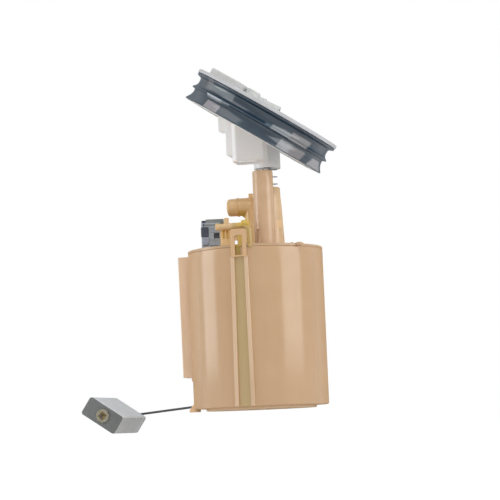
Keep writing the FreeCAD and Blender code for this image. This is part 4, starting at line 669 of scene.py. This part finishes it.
ribs = [front_rib(-1), front_rib(1)]
strap = flat("strap", [rounded((-6.4, 121.3), (6.3, 143.6), 1.8),
                       rounded((-3.1, 122.6), (3.1, 138.4), 0.9)], 2.1)
soften(laid(strap, at(0, -56.0) @ STAND_FRONT), 0.45)
legs = [bar("leg", (left, -56.9, 120.8), (left + 3.3, -54.6, 126), 0.4) for left in (-6.4, 3.0)]
post = bar("post", (-3.2, -57.0, 134.4), (-1.1, -55.4, 139.5), 0.4)
print("strap top at 144 mm")

# %% Side rail, side foot and sender seat
rail = flat("side_rail", [[(-54.2, -6), (-54.2, 6), (-64.1, 6), (-64.1, 3.2), (-58.7, 3.2), (-58.7, -3.2),
                           (-64.1, -3.2), (-64.1, -6)]], 100.3)
soften(laid(rail, at(0, 0, 29) @ turned_by(-0.5, "Y")), 0.5)
side_foot = flat("side_foot", [[(-60.3, 0), (-60.3, 1.3), (-59.0, 3.4), (-54.4, 8.8), (-53.0, 3.2),
                                (-53.0, 0)]], 10)
soften(laid(side_foot, at(0, 5) @ STAND_FRONT), 0.4, 2)
seat = flat("sender_seat", [[
    (-17.35, 46), (-17.35, 62.1), (-13.15, 62.1), (-13.15, 59.9), (-15.15, 59.9), (-15.15, 57.6),
    (15.15, 57.6), (15.15, 59.9), (13.15, 59.9), (13.15, 62.1), (17.35, 62.1), (17.35, 51.5)]], 66)
laid(seat, at(-18, 0, 24))
drill(seat, 0, 0, 54.0, 20, 95)
carve(seat, *(bar("cell", (left, 45, 22), (left + 7, 55.4, 87.8)) for left in (-33.35, -24.35)))
soften(outward(seat), 0.4, 2)
rail_end = bar("rail_end", (-57.6, -4.0, 25.4), (-54.4, 4.0, 31), 0.5)
cup = one_piece("cup", cup, *ribs, strap, *legs, post, rail, rail_end, side_foot, seat)
dress(cup, tan_acetal, "reservoir", "reservoir_cup")

# %% [markdown]
# ## The cover and its towers
#
# The cover closes the cup: a plate with a rim band, open for a stretch on the right, an inner skirt that
# centres it, and a hook that the cup's strap snaps over. The flange's guide tube and the closed tower of
# the pressure regulator stand on it. Plate, tube and tower are turned, and their holes are cut with Boolean
# modifiers.

# %% The cover
LID, LID_TOP = 129.35, 131.3
cover = turned("cover", [
    (7.2, LID), (51.7, LID), (51.7, 121.3), (52.6, 121.3), (53.5, 122.2), (53.5, LID), (55.3, LID),
    (55.7, 129.7), (55.7, 131.0), (55.4, LID_TOP), (7.2, LID_TOP)], 160, closed=True)
tower_place, return_place, tube_place = (14.8, -25.3), (6.0, -45.2), (5.6, 34.4)
for place, radius in ((tower_place, 8.25), (return_place, 2.7), (tube_place, 11.0)):
    drill(cover, *place, radius, 110, 140)
for side in (0, 180):
    carve(cover, laid(flat("port", [sector(30, 44, side - 20, side + 20, 16)], 20), at(0, 0, 120)))
soften(outward(cover), 0.25, 2, 40)
band = flat("rim_band", [sector(53.9, 55.7, 40, 327, 120)], 1.2)
soften(laid(band, at(0, 0, 130.25)), 0.3, 2)
hook = flat("hook", [[(-53.9, LID), (-55.5, LID), (-57.4, 137.4), (-57.4, 139.2), (-53.9, 139.2)]], 4.0)
soften(laid(hook, at(-1.0, 0) @ STAND_SIDE), 0.35)
print("cover bored")

# %% Stiffening ribs of the cover
clip = bar("clip", (7.2, -56.3, 128.6), (10.3, -54.0, 131.2), 0.7, 4)
knob = bar("knob", (43.0, -37.2, 129.6), (47.0, -34.0, 132.1), 0.5, 4)
cover_ribs = [
    laid(bar("rib", (start, -0.6, LID_TOP - 0.1), (end, 0.6, LID_TOP + 1.0), 0.25, 2), turned_by(angle, "Z"))
    for angle, start, end in (
        (25, 11, 29.5), (-25, 11, 29.5), (60, 11, 21), (125, 11, 53.5), (150, 11, 53.5),
        (-108, 30, 53.5), (-155, 11, 27), (-30, 45, 53.5), (-42, 40, 53.5), (0, 44.5, 53.5),
        (180, 44.5, 53.5), (100, 44, 53.5))]
ring_rib = turned("ring_rib", [(28.2, LID_TOP - 0.1), (29.4, LID_TOP - 0.1), (29.4, 132.1), (29.2, 132.3),
                               (28.4, 132.3), (28.2, 132.1)], 128, closed=True)
for place, radius in ((tower_place, 10), (return_place, 4), (tube_place, 13.6)):
    drill(ring_rib, *place, radius, 120, 140)
smooth(outward(ring_rib))
for piece in (cover, band, hook, ring_rib, knob, *cover_ribs):
    paint(piece, cover_acetal)
paint(clip, olive_nylon)
cover = one_piece("cover", cover, band, hook, clip, knob, ring_rib, *cover_ribs)
dress(cover, None, "reservoir", "top_cover")

# %% The guide tube and the regulator tower
guide_tube = turned("guide_tube_wall", [
    (3.08, 98), (10.7, 98), (10.9, 98.3), (10.9, 131.35), (13.1, 131.35), (13.4, 131.7), (13.4, 132.5),
    (13.0, 132.95), (12.7, 132.95), (12.4, 133.4), (10.9, 170), (10.2, 179), (10.05, 186.2), (9.9, 186.75),
    (9.5, 187.0), (9.1, 187.0), (9.1, 131.3), (3.08, 131.3)], 96, closed=True)
smooth(laid(guide_tube, at(*tube_place)))
dress(guide_tube, tube_acetal, "reservoir", "guide_tube")

tower = turned("regulator_wall", [
    (0.5, 191.9), (4.6, 191.9), (6.6, 189.9), (6.6, 116), (8, 116), (8, 131.35), (9.4, 131.35),
    (9.6, 131.6), (9.6, 132.1), (9.3, 132.5), (8.6, 132.8), (8.35, 133.2), (8.3, 191.9), (8.1, 192.6),
    (7.6, 193.1), (6.9, 193.3), (0.5, 193.3)], 96)
carve(tower, bar("notch", (-1.3, -9.5, 135), (1.3, -7.4, 145)))
laid(tower, at(*tower_place) @ turned_by(-28, "Z"))
smooth(outward(tower))
dress(tower, tower_acetal, "reservoir", "regulator_tower")

# %% [markdown]
# ## Outlet elbow and return nipple
#
# The outlet is the thick spigot that points left. Its riser, rounded at the knee, and its spigot are turned,
# and a small gusset and boss brace it. The thin return pipe is a circle pulled up, spun round its bend and
# pulled on, as a bent pipe is drawn by hand.

# %% The outlet elbow
elbow = turned("elbow", [
    (0.4, 110), (6.6, 110), (7, 110.4), (7, 131.35), (9.7, 131.35), (10, 131.7), (10, 132.9),
    (9.6, 133.35), (7.4, 133.35), (7, 133.8), (7, 168), (6.76, 169.8), (6.06, 171.5), (4.95, 172.95),
    (3.5, 174.06), (1.8, 174.77), (0.4, 175)], 96)
spigot = turned("spigot", [
    (0.4, 0), (7.35, 0), (7.35, 11.9), (7.75, 12.1), (7.85, 12.4), (7.85, 12.9), (7.7, 13.2), (7.25, 13.35),
    (7.2, 19.6), (7.05, 20.3), (6.7, 20.9), (6.2, 21.2), (0.4, 21.2)], 96)
to_left = at(0, 0, 168) @ turned_by(-90, "Y")
gusset = flat("gusset", [[(-6.0, 157.3), (-6.0, 167), (-10.4, 167), (-10.4, 161.2)]], 3.0)
melt(elbow, laid(spigot, to_left), laid(gusset, at(0, 1.5) @ STAND_FRONT),
     bar("boss", (-3.4, -1.7, 168), (0.0, 1.7, 178.7), 0.5))
bore = turned("bore", [(4.9, 108), (4.9, 168), (3.5, 171.5), (0.4, 172.9)], 64)
carve(elbow, bore, laid(turned("side_bore", [(4.6, 0), (4.6, 24)], 64), to_left))
soften(outward(elbow), 0.3, 2, 40)
dress(elbow, elbow_acetal, "reservoir", "outlet_elbow")

# %% The return nipple
def bent_pipe(name, radius, foot_height, level, end_x, bend, sides=40):
    """A pipe that rises at the return's place, bends and runs level to the left."""
    x, y = return_place
    piece = ring(name, radius, sides, (x, y, foot_height))
    pull(0, 0, level - bend - foot_height)
    centre = ((x - bend) * MM, y * MM, (level - bend) * MM)
    bpy.ops.mesh.spin(steps=10, angle=math.radians(90), center=centre, axis=(0, 1, 0))
    pull(end_x - (x - bend), 0, 0)
    bpy.ops.object.mode_set(mode="OBJECT")
    return outward(piece)


nipple = bent_pipe("return_pipe", 2.6, 125.35, 147.4, -21.0, 5)
foot = laid(turned("foot", [(3.6, 131.35), (3.6, 132.8), (3.2, 133.15)], 48), at(*return_place))
rim = turned("rim", [(2.5, 0), (2.8, 0), (3.05, 0.3), (3.05, 1.9), (2.7, 2.3), (2.5, 2.3)], 48)
laid(rim, at(-21.0, -45.2, 147.4) @ turned_by(90, "Y"))
lug = bar("lug", (-14.3, -46.2, 147.4), (-10.1, -44.2, 154.4), 0.7)
collar = turned("collar", [(2.3, 0), (2.6, 0.0), (2.95, 0.4), (2.95, 5.5), (2.6, 5.9), (2.3, 5.9)], 48)
laid(collar, at(0.35, -45.2, 149.0) @ turned_by(90, "Y"))
melt(nipple, foot, rim, lug, collar)
carve(nipple, bent_pipe("return_bore", 1.5, 124, 147.4, -23, 5, 32))
soften(outward(nipple), 0.25, 2, 40)
dress(nipple, olive_nylon, "reservoir", "return_nipple")

# %% [markdown]
# ## Receptacle and plug
#
# The amber receptacle is a box with slots, open upwards. The dark plug beside it has panels sunk into its
# face, a latch bar on top and a small window. Both are bars with pieces cut away and edges softened.

# %% The wiring receptacle
shell = bar("receptacle", (-4.3, -4.5, 131.35), (4.3, 4.5, 146.55))
carve(shell, bar("inside", (-3.0, -3.2, 133.35), (3.0, 3.2, 148)))
for middle in (-1.45, 1.45):
    carve(shell, bar("slot", (middle - 0.8, -6, 137.95), (middle + 0.8, 6, 145.95)))
paint(soften(outward(shell), 0.3), amber_nylon)
# The liners behind the slots are painted shade: darker amber where the inside of the box lies in shadow.
liners = [bar("liner", (-3.05, y - 0.3, 133.3), (3.05, y + 0.3, 146.3), 0.15, 2) for y in (-3.0, 3.0)]
for liner in liners:
    paint(liner, shaded_slot_amber)
lip = bar("lip", (-4.5, -4.7, 145.2), (4.5, 4.7, 146.5))
carve(lip, bar("inside", (-3.1, -3.3, 144), (3.1, 3.3, 148)))
ledge = bar("ledge", (-4.7, -4.9, 131.35), (4.7, 4.9, 132.6))
carve(ledge, bar("inside", (-3.9, -4.1, 130), (3.9, 4.1, 134)))
for piece, width in ((lip, 0.25), (ledge, 0.3)):
    paint(soften(outward(piece), width, 2), amber_nylon)
receptacle = one_piece("receptacle", shell, lip, ledge, *liners)
laid(receptacle, at(-15.3, -36.6) @ turned_by(13, "Z"))
dress(receptacle, None, "reservoir", "wiring_receptacle")

# %% The wiring plug
plug = bar("plug", (0, 0, 0), (15.55, 10, 20.8))
carve(plug, *[bar("hollow", low, high) for low, high in (
    ((1.2, -1, 14.1), (14.55, 0.8, 18.6)), ((1.0, -1, 1.8), (5.6, 0.8, 12.8)),
    ((10.15, -1, 8), (14.55, 2.0, 12.4)), ((6.8, -1, 1.8), (14.75, 0.5, 7.0)),
    ((2.4, 2.6, -1), (13.15, 7.6, 8)))])
paint(soften(outward(plug), 0.45), plug_grey)
plug_bars = []
# The latch and the ledge on top take the darker grey: painted shade.
for finish, width, segments, corners in (
        (shaded_latch_grey, 0.35, 4, [((3.8, 0.2, 20.3), (18.35, 10, 23.8)), ((2.4, -0.5, 18.8), (15.35, 1, 19.9))]),
        (plug_grey, 0.35, 4, [((2.0, -0.1, 16.2), (14.15, 1.4, 16.8)), ((6.4, -0.4, 12.9), (15.35, 1, 13.9)),
                              ((6.2, -0.3, 1.0), (7.2, 1, 13.2))]),
        (black_nylon, 0.3, 4, [((0.4, 1, 20.3), (4.4, 10, 23.0)), ((6.6, -0.5, 0.2), (15.45, 2, 2.2)),
                               ((1.4, -0.2, 18.6), (3.0, 1, 20.4)), ((10.25, 1.5, 8.1), (14.45, 2.1, 12.3))]),
        (black_nylon, 1.1, 4, [((-0.3, -0.7, 9.2), (6.0, 2, 17.6))]),
        (sheen_grey, 2.2, 6, [((0.5, -0.9, 2.2), (6.4, 2, 9.6))])):
    plug_bars += [paint(bar("plug_bar", low, high, width, segments), finish) for low, high in corners]
plug = one_piece("plug", plug, *plug_bars)
laid(plug, at(-28.8, -33.0) @ turned_by(13, "Z") @ at(-7.45, -5.0, 131.35))
dress(plug, None, "reservoir", "wiring_plug")

# %% [markdown]
# ## The flange
#
# The white flange closes the tank: a dished plate, a rim, and a skirt that carries the seal, all turned in
# the flange's own frame and then tilted. Low ribs stiffen the dish. The blocks and the sleeve under it are
# made upright and trimmed by the tilted plate with a Bisect, one straight cut through everything.

# %% The plate, rim and skirt
plate = turned("flange", [
    (0.4, -4.5), (55.9, -4.5), (56.4, -4.4), (60.3, -0.5), (60.9, 0), (65.0, 0), (65.35, -0.15),
    (65.5, -0.5), (65.5, -2.4), (65.4, -2.75), (65.1, -2.9), (58.3, -2.9), (58.3, -26.7), (58.15, -27.05),
    (57.8, -27.2), (56.8, -27.2), (56.5, -27.0), (56.5, -9.0), (55.0, -7.5), (0.4, -7.5)], 192)
smooth(plate)
# The outer faces of the rim take the darker nylon: painted shade.
paint(plate, white_nylon).data.materials.append(shaded_rim_nylon)
for face in plate.data.polygons:
    outer = face.center.to_2d().length > 58.4 * MM and face.center.z > -3.0 * MM
    face.material_index = int(outer)
print("flange turned")

# %% Shapes on top of the flange
dish_ribs = [laid(bar("dish_rib", (21.5, -0.9, -4.6), (58, 0.9, -1.5), 0.4, 2), turned_by(angle, "Z"))
             for angle in range(-150, 151, 30)]
dish_ring = turned("dish_ring", [(20.6, -4.6), (22.4, -4.6), (22.4, -1.9), (22.0, -1.5), (21.0, -1.5),
                                 (20.6, -1.9)], 96, closed=True)
smooth(dish_ring)
boss = turned("pipe_boss", [(0.4, -5.0), (7.4, -5.0), (7.2, -4.0), (6.4, -3.2), (6.2, -2.4), (6.2, 5.6),
                            (5.9, 6.3), (5.2, 6.7), (0.4, 6.7)], 64)
smooth(laid(boss, at(-17.6, 0)))
pipe = turned("feed_pipe", [
    (0.4, 0), (3.9, 0), (3.9, 11.5), (4.2, 12.2), (4.2, 13.1), (3.3, 13.9), (3.3, 26.3), (3.15, 26.8),
    (2.7, 27.1), (0.4, 27.1)], 64)
carve(pipe, turned("bore", [(2.0, 10), (2.0, 29)], 48))
soften(outward(pipe), 0.2, 2, 40)
laid(pipe, at(-17.6, 0, 0.4) @ turned_by(86, "Y"))
for piece in dish_ribs + [dish_ring]:
    paint(piece, white_nylon)
for piece in (boss, pipe):
    paint(piece, grey_nylon)
plate = one_piece("flange", plate, *dish_ribs, dish_ring, boss, pipe)
laid(plate, flange_frame)
dress(plate, None, "flange", "flange_plate")

# %% Blocks and sleeve under the flange
PLATE_DEPTH = 7.55


def trimmed(piece):
    """Cuts a piece off along the underside of the plate and closes the cut."""
    corner = flange_frame @ Vector((0, 0, -PLATE_DEPTH * MM))
    up = flange_frame.to_3x3() @ Vector((0, 0, 1))
    edit_all(piece)
    bpy.ops.mesh.bisect(plane_co=corner, plane_no=up, clear_outer=True, use_fill=True)
    bpy.ops.object.mode_set(mode="OBJECT")
    return outward(piece)


def column(name, low, high, foot, round_corner=0.0):
    """An upright block over an area given by two corners, with one corner of it rounded."""
    (left, front), (right, back) = low, high
    corner = [(left, front)]
    if round_corner:
        corner = arc(left + round_corner, front + round_corner, round_corner, 180, 270, 8)
    piece = flat(name, [[(right, front), (right, back), (left, back)] + corner], 290 - foot)
    return laid(piece, at(0, 0, foot))


block = column("columns", (-13.9, -13.0), (9.3, 11.0), 205.0, 5.5)
step = bar("step", (-9.0, -11.0, 204.0), (7.4, 2.0, 207.6))
for piece in (block, step):
    carve(piece, bar("hollow", (-11.9, -8.0, 200), (7.3, 9.0, 220.6)))
sides = [column("side", low, high, foot) for low, high, foot in (
    ((9.1, -13.0), (12.7, -5.0), 205.0), ((-18.8, -9.0), (-12.9, 8.0), 211.0),
    ((-25.2, -7.5), (-17.8, 5.0), 232.0))]
stud = laid(turned("stud", [(1.6, 203.5), (1.6, 207)], 32), at(5.0, -8.6))
web = bar("web", (4.4, 10.0, 207.2), (9.2, 24.5, 290))
sleeve = laid(turned("sleeve", [(11.3, 203.5), (11.3, 290)], 96), at(*tube_place))
melt(block, step, *sides, stud, web, sleeve)
drill(block, *tube_place, 10.3, 200, 238)
drill(block, *tube_place, 3.02, 230, 290, 48)
soften(trimmed(block), 0.5, 3, 40)
dress(block, column_nylon, "flange", "flange_columns")

# %% [markdown]
# ## The seal
#
# The seal is a black rubber ring with a bead under the rim and two lips that bend outwards against the
# tank's neck. The lips flare in soft curves, so the profile is a row of rings that follow them. A turned
# piece keeps every lip perfectly round, as the real mould does.

# %% Turn the seal
seal = turned("seal", [
    (58.35, -2.95), (64.2, -2.95), (64.75, -3.15), (65.0, -3.6), (64.95, -4.2), (64.5, -4.9),
    (63.2, -5.4), (61.9, -5.8), (61.0, -6.5), (60.7, -7.6), (60.65, -10.0), (60.8, -11.0), (61.3, -12.3),
    (62.2, -13.5), (63.3, -14.4), (63.75, -14.8), (63.8, -15.3), (63.5, -15.75), (62.9, -15.9),
    (62.0, -15.95), (61.4, -16.2), (61.0, -16.8), (60.85, -17.6), (60.9, -18.8), (61.2, -20.2),
    (61.9, -22.0), (62.9, -23.7), (64.0, -25.2), (64.35, -25.9), (64.2, -26.4), (63.7, -26.6),
    (58.35, -26.6)], 192, closed=True)
smooth(laid(seal, flange_frame), 50)
dress(seal, seal_rubber, "flange", "flange_seal")

# %% The flange's socket
socket = bar("socket", (-56.4, -11, -4.45), (-25.5, 11, 6.7), 1.3, 5)
carve(socket, bar("inside", (-54.4, -9.2, -3.25), (-27.3, 9.2, 9)))
for number in range(4):
    drill(socket, -30.5, (number - 1.5) * 4.4, 0.83, -6, 0, 24)
outward(socket)
latch = bar("latch", (-26.0, -4, -4.4), (-23.9, 4, -0.45), 0.4, 2)
guides = [bar("guide", (-53.3, y - 0.5, -3.4), (-46, y + 0.5, 5.6), 0.2, 2) for y in (-5, 5)]
socket = one_piece("socket", socket, latch, *guides)
laid(socket, flange_frame)
dress(socket, grey_nylon, "flange", "flange_connector")

# %% [markdown]
# ## Float, nut and arm
#
# The float is a block of closed-cell foam on the end of a steel wire, held by a brass push nut with four
# teeth. Its long edges are moulded round and its ends are cut, so those are flat and sharp. The ends and
# the faces that don't look up are painted shade, darker copies of the foam. The wire arm is the measured
# one as it is.

# %% The float and its nut
outline = [point for x, y, start in ((14.1, 6.1, 0), (-15.4, 6.1, 90), (-15.4, -6.1, 180), (14.1, -6.1, 270))
           for point in arc(x, y, 2.2, start, start + 90, 6)]
foam_block = flat("foam_block", [outline], 66)
soften(laid(foam_block, at(0, 33) @ turned_by(90, "X")), 0.3, 3, 40)
carve(foam_block, laid(turned("bore", [(1.15, -40), (1.15, 40)], 32), turned_by(90, "X")))
smooth(outward(foam_block))
laid(foam_block, at(-134.4, 25.0, 0.4) @ turned_by(34, "Y"))
paint(foam_block, float_foam)
# The ends and the faces that don't look up take the darker foams: painted shade.
for finish in (float_shaded_end, float_shaded_side):
    foam_block.data.materials.append(finish)
for face in foam_block.data.polygons:
    if abs(face.normal.y) > 0.8:
        face.material_index = 1
    elif face.normal.z < 0.2:
        face.material_index = 2
dress(foam_block, None, "float", "float")
nut = turned("nut", [(1.02, 0), (5.2, 0), (5.6, 0.25), (5.6, 0.8), (5.2, 1.15), (1.02, 1.3)], 48, closed=True)
teeth = turned("teeth", [(1.46, 1.1), (3.9, 1.1), (1.8, 3.2), (1.46, 3.2)], 4, closed=True)
nut = one_piece("nut", paint(smooth(nut), brass), paint(teeth, dark_teeth_brass))
laid(nut, at(-134.4, -8.3, 0.4) @ turned_by(90, "X"))
dress(nut, None, "float", "float_nut")

# %% [markdown]
# ## Base plate
#
# The base is a thin disc that closes the cup's foot. Its twelve windows let the petrol in, through the
# screen that lies over them. It could be drawn as one outline with twelve holes; here the disc is turned
# and one wedge is copied round it as the cutter, as a drawing of it would say "twelve times".

# %% Turn the base and cut its windows
base = turned("base", [(0.8, 0), (44.8, 0), (45.2, 0.2), (45.4, 0.6), (45.4, 2.0), (41.7, 2.0), (41.7, 1.2),
                       (0.8, 1.2)], 160)
for number in range(12):
    window = flat("window", [[(9, -1.0), (39, -4.5), (39, 4.5), (9, 1.0)]], 4)
    carve(base, laid(window, turned_by(30 * number, "Z") @ at(0, 0, -1)))
soften(outward(base), 0.18, 2, 40)
dress(base, base_acetal, "reservoir", "base_plate")

# %% [markdown]
# ## The level sender
#
# The sender slides into its seat at the cup's back: a dark plate with a pivot, two pegs that stop the arm,
# and a latch tongue at its top. The ceramic card has its resistor printed on it in arcs about the pivot, and
# the wiper's two fingers slide over them. The plate is one flat outline with its holes, and the arcs are
# raised a little, as thick-film print is.

# %% Plate, ribs and pegs
pivot_x, pivot_z, plate_back = -18.0, 50.0, 59.75
sender = flat("sender", [
    rounded((-33.0, 24.3), (-3.0, 90.0), 2.5), arc(pivot_x, pivot_z, 3.45, 0, 351, 39),
    rounded((-27.0, 27.5), (-9.0, 32.5), 1.2), rounded((-22.6, 76.5), (-21.6, 86.5), 0.4),
    rounded((-14.4, 76.5), (-13.4, 86.5), 0.4)], 2.0)
soften(laid(sender, at(0, plate_back) @ STAND_FRONT), 0.25, 2, 40)
sender_parts = [laid(bar("rib", (left, -0.4, low), (right, out, high), 0.25, 2), at(0, plate_back))
                for left, right, low, high, out in (
    (-30.4, -29.2, 26, 55, 1.0), (-6.8, -5.6, 26, 55, 1.0), (-30.4, -5.6, 34.2, 35.2, 1.0),
    (-20.8, -15.2, 84.4, 86.2, 1.4), (-30.6, -29.6, 61, 68, 1.2), (-6.4, -5.4, 61, 68, 1.2))]
for x, z in ((-21.90, 39.38), (-28.81, 53.35)):
    peg = turned("peg", [(0.3, -1.0), (1.5, -1.0), (1.5, 7.0), (1.3, 7.5), (0.3, 7.75)], 32)
    sender_parts.append(smooth(laid(peg, at(x, plate_back, z) @ turned_by(-90, "X"))))
sender = one_piece("sender", sender, *sender_parts)
dress(sender, pump_nylon, "reservoir", "sender_plate")

# %% Card and tracks
card = flat("card", [rounded((-29.0, 59.0), (-7.0, 72.6), 1.5)], 0.7)
soften(laid(card, at(0, plate_back + 0.75) @ STAND_FRONT), 0.12, 2)
sectors = [(10.6, 11.8, 58, 122, 24), (13.2, 16.2, 57, 123, 24), (17.4, 18.2, 62, 118, 24)]
sectors += [(16.2, 17.5, 61 + number * 3.8, 62.6 + number * 3.8, 2) for number in range(16)]
on_card = at(pivot_x, plate_back + 0.82, pivot_z) @ STAND_FRONT
tracks = [paint(laid(flat("track", [sector(*row)], 0.12), on_card), carbon) for row in sectors]
paint(card, ceramic_card)
card = one_piece("card", card, *tracks)
dress(card, None, "reservoir", "sender_card")

# %% Hub and wiper
hub = turned("hub", [
    (1.03, 0), (5.6, 0), (6.0, 0.4), (6.0, 2.7), (5.7, 3.1), (4.4, 3.2), (4.2, 2.6), (2.4, 2.6), (2.2, 3.2),
    (1.03, 3.2)], 64, closed=True)
journal = turned("journal", [(1.03, -2.3), (3.3, -2.3), (3.3, 0.1), (1.03, 0.1)], 48, closed=True)
for piece in (hub, journal):
    smooth(laid(piece, at(pivot_x, 60.0, pivot_z) @ turned_by(-90, "X")))
hub = one_piece("hub", hub, journal)
dress(hub, pump_nylon, "float_arm", "sender_hub")
blade = flat("wiper", [rounded((-1.5, 6.05), (1.5, 19), 0.5), rounded((-0.25, 9), (0.25, 19.5), 0.1)], 0.4)
soften(laid(blade, at(pivot_x, 61.2, pivot_z) @ turned_by(-30, "Y") @ STAND_FRONT), 0.1, 2)
dress(blade, bright_steel, "float_arm", "sender_wiper")

# %% [markdown]
# ## The springs
#
# Two springs are squeezed when the module moves: the long one in the guide tube, when the flange is pressed
# down, and the stiff one over the regulator's piston. Their measured coils are right as they are, so each
# is copied, merged and smoothed.

# %% Copy the coils
def sprung(name, node):
    piece = shown(name, frame["nodes"][node].data.copy())
    smooth(outward(piece), 50)
    dress(piece, spring_steel, "reservoir", node)
    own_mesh(piece)


sprung("guide_coil", "guide_spring")
sprung("regulator_coil", "regulator_spring")

# %% Close the lesson
bpy.context.scene.view_settings.view_transform = "Standard"
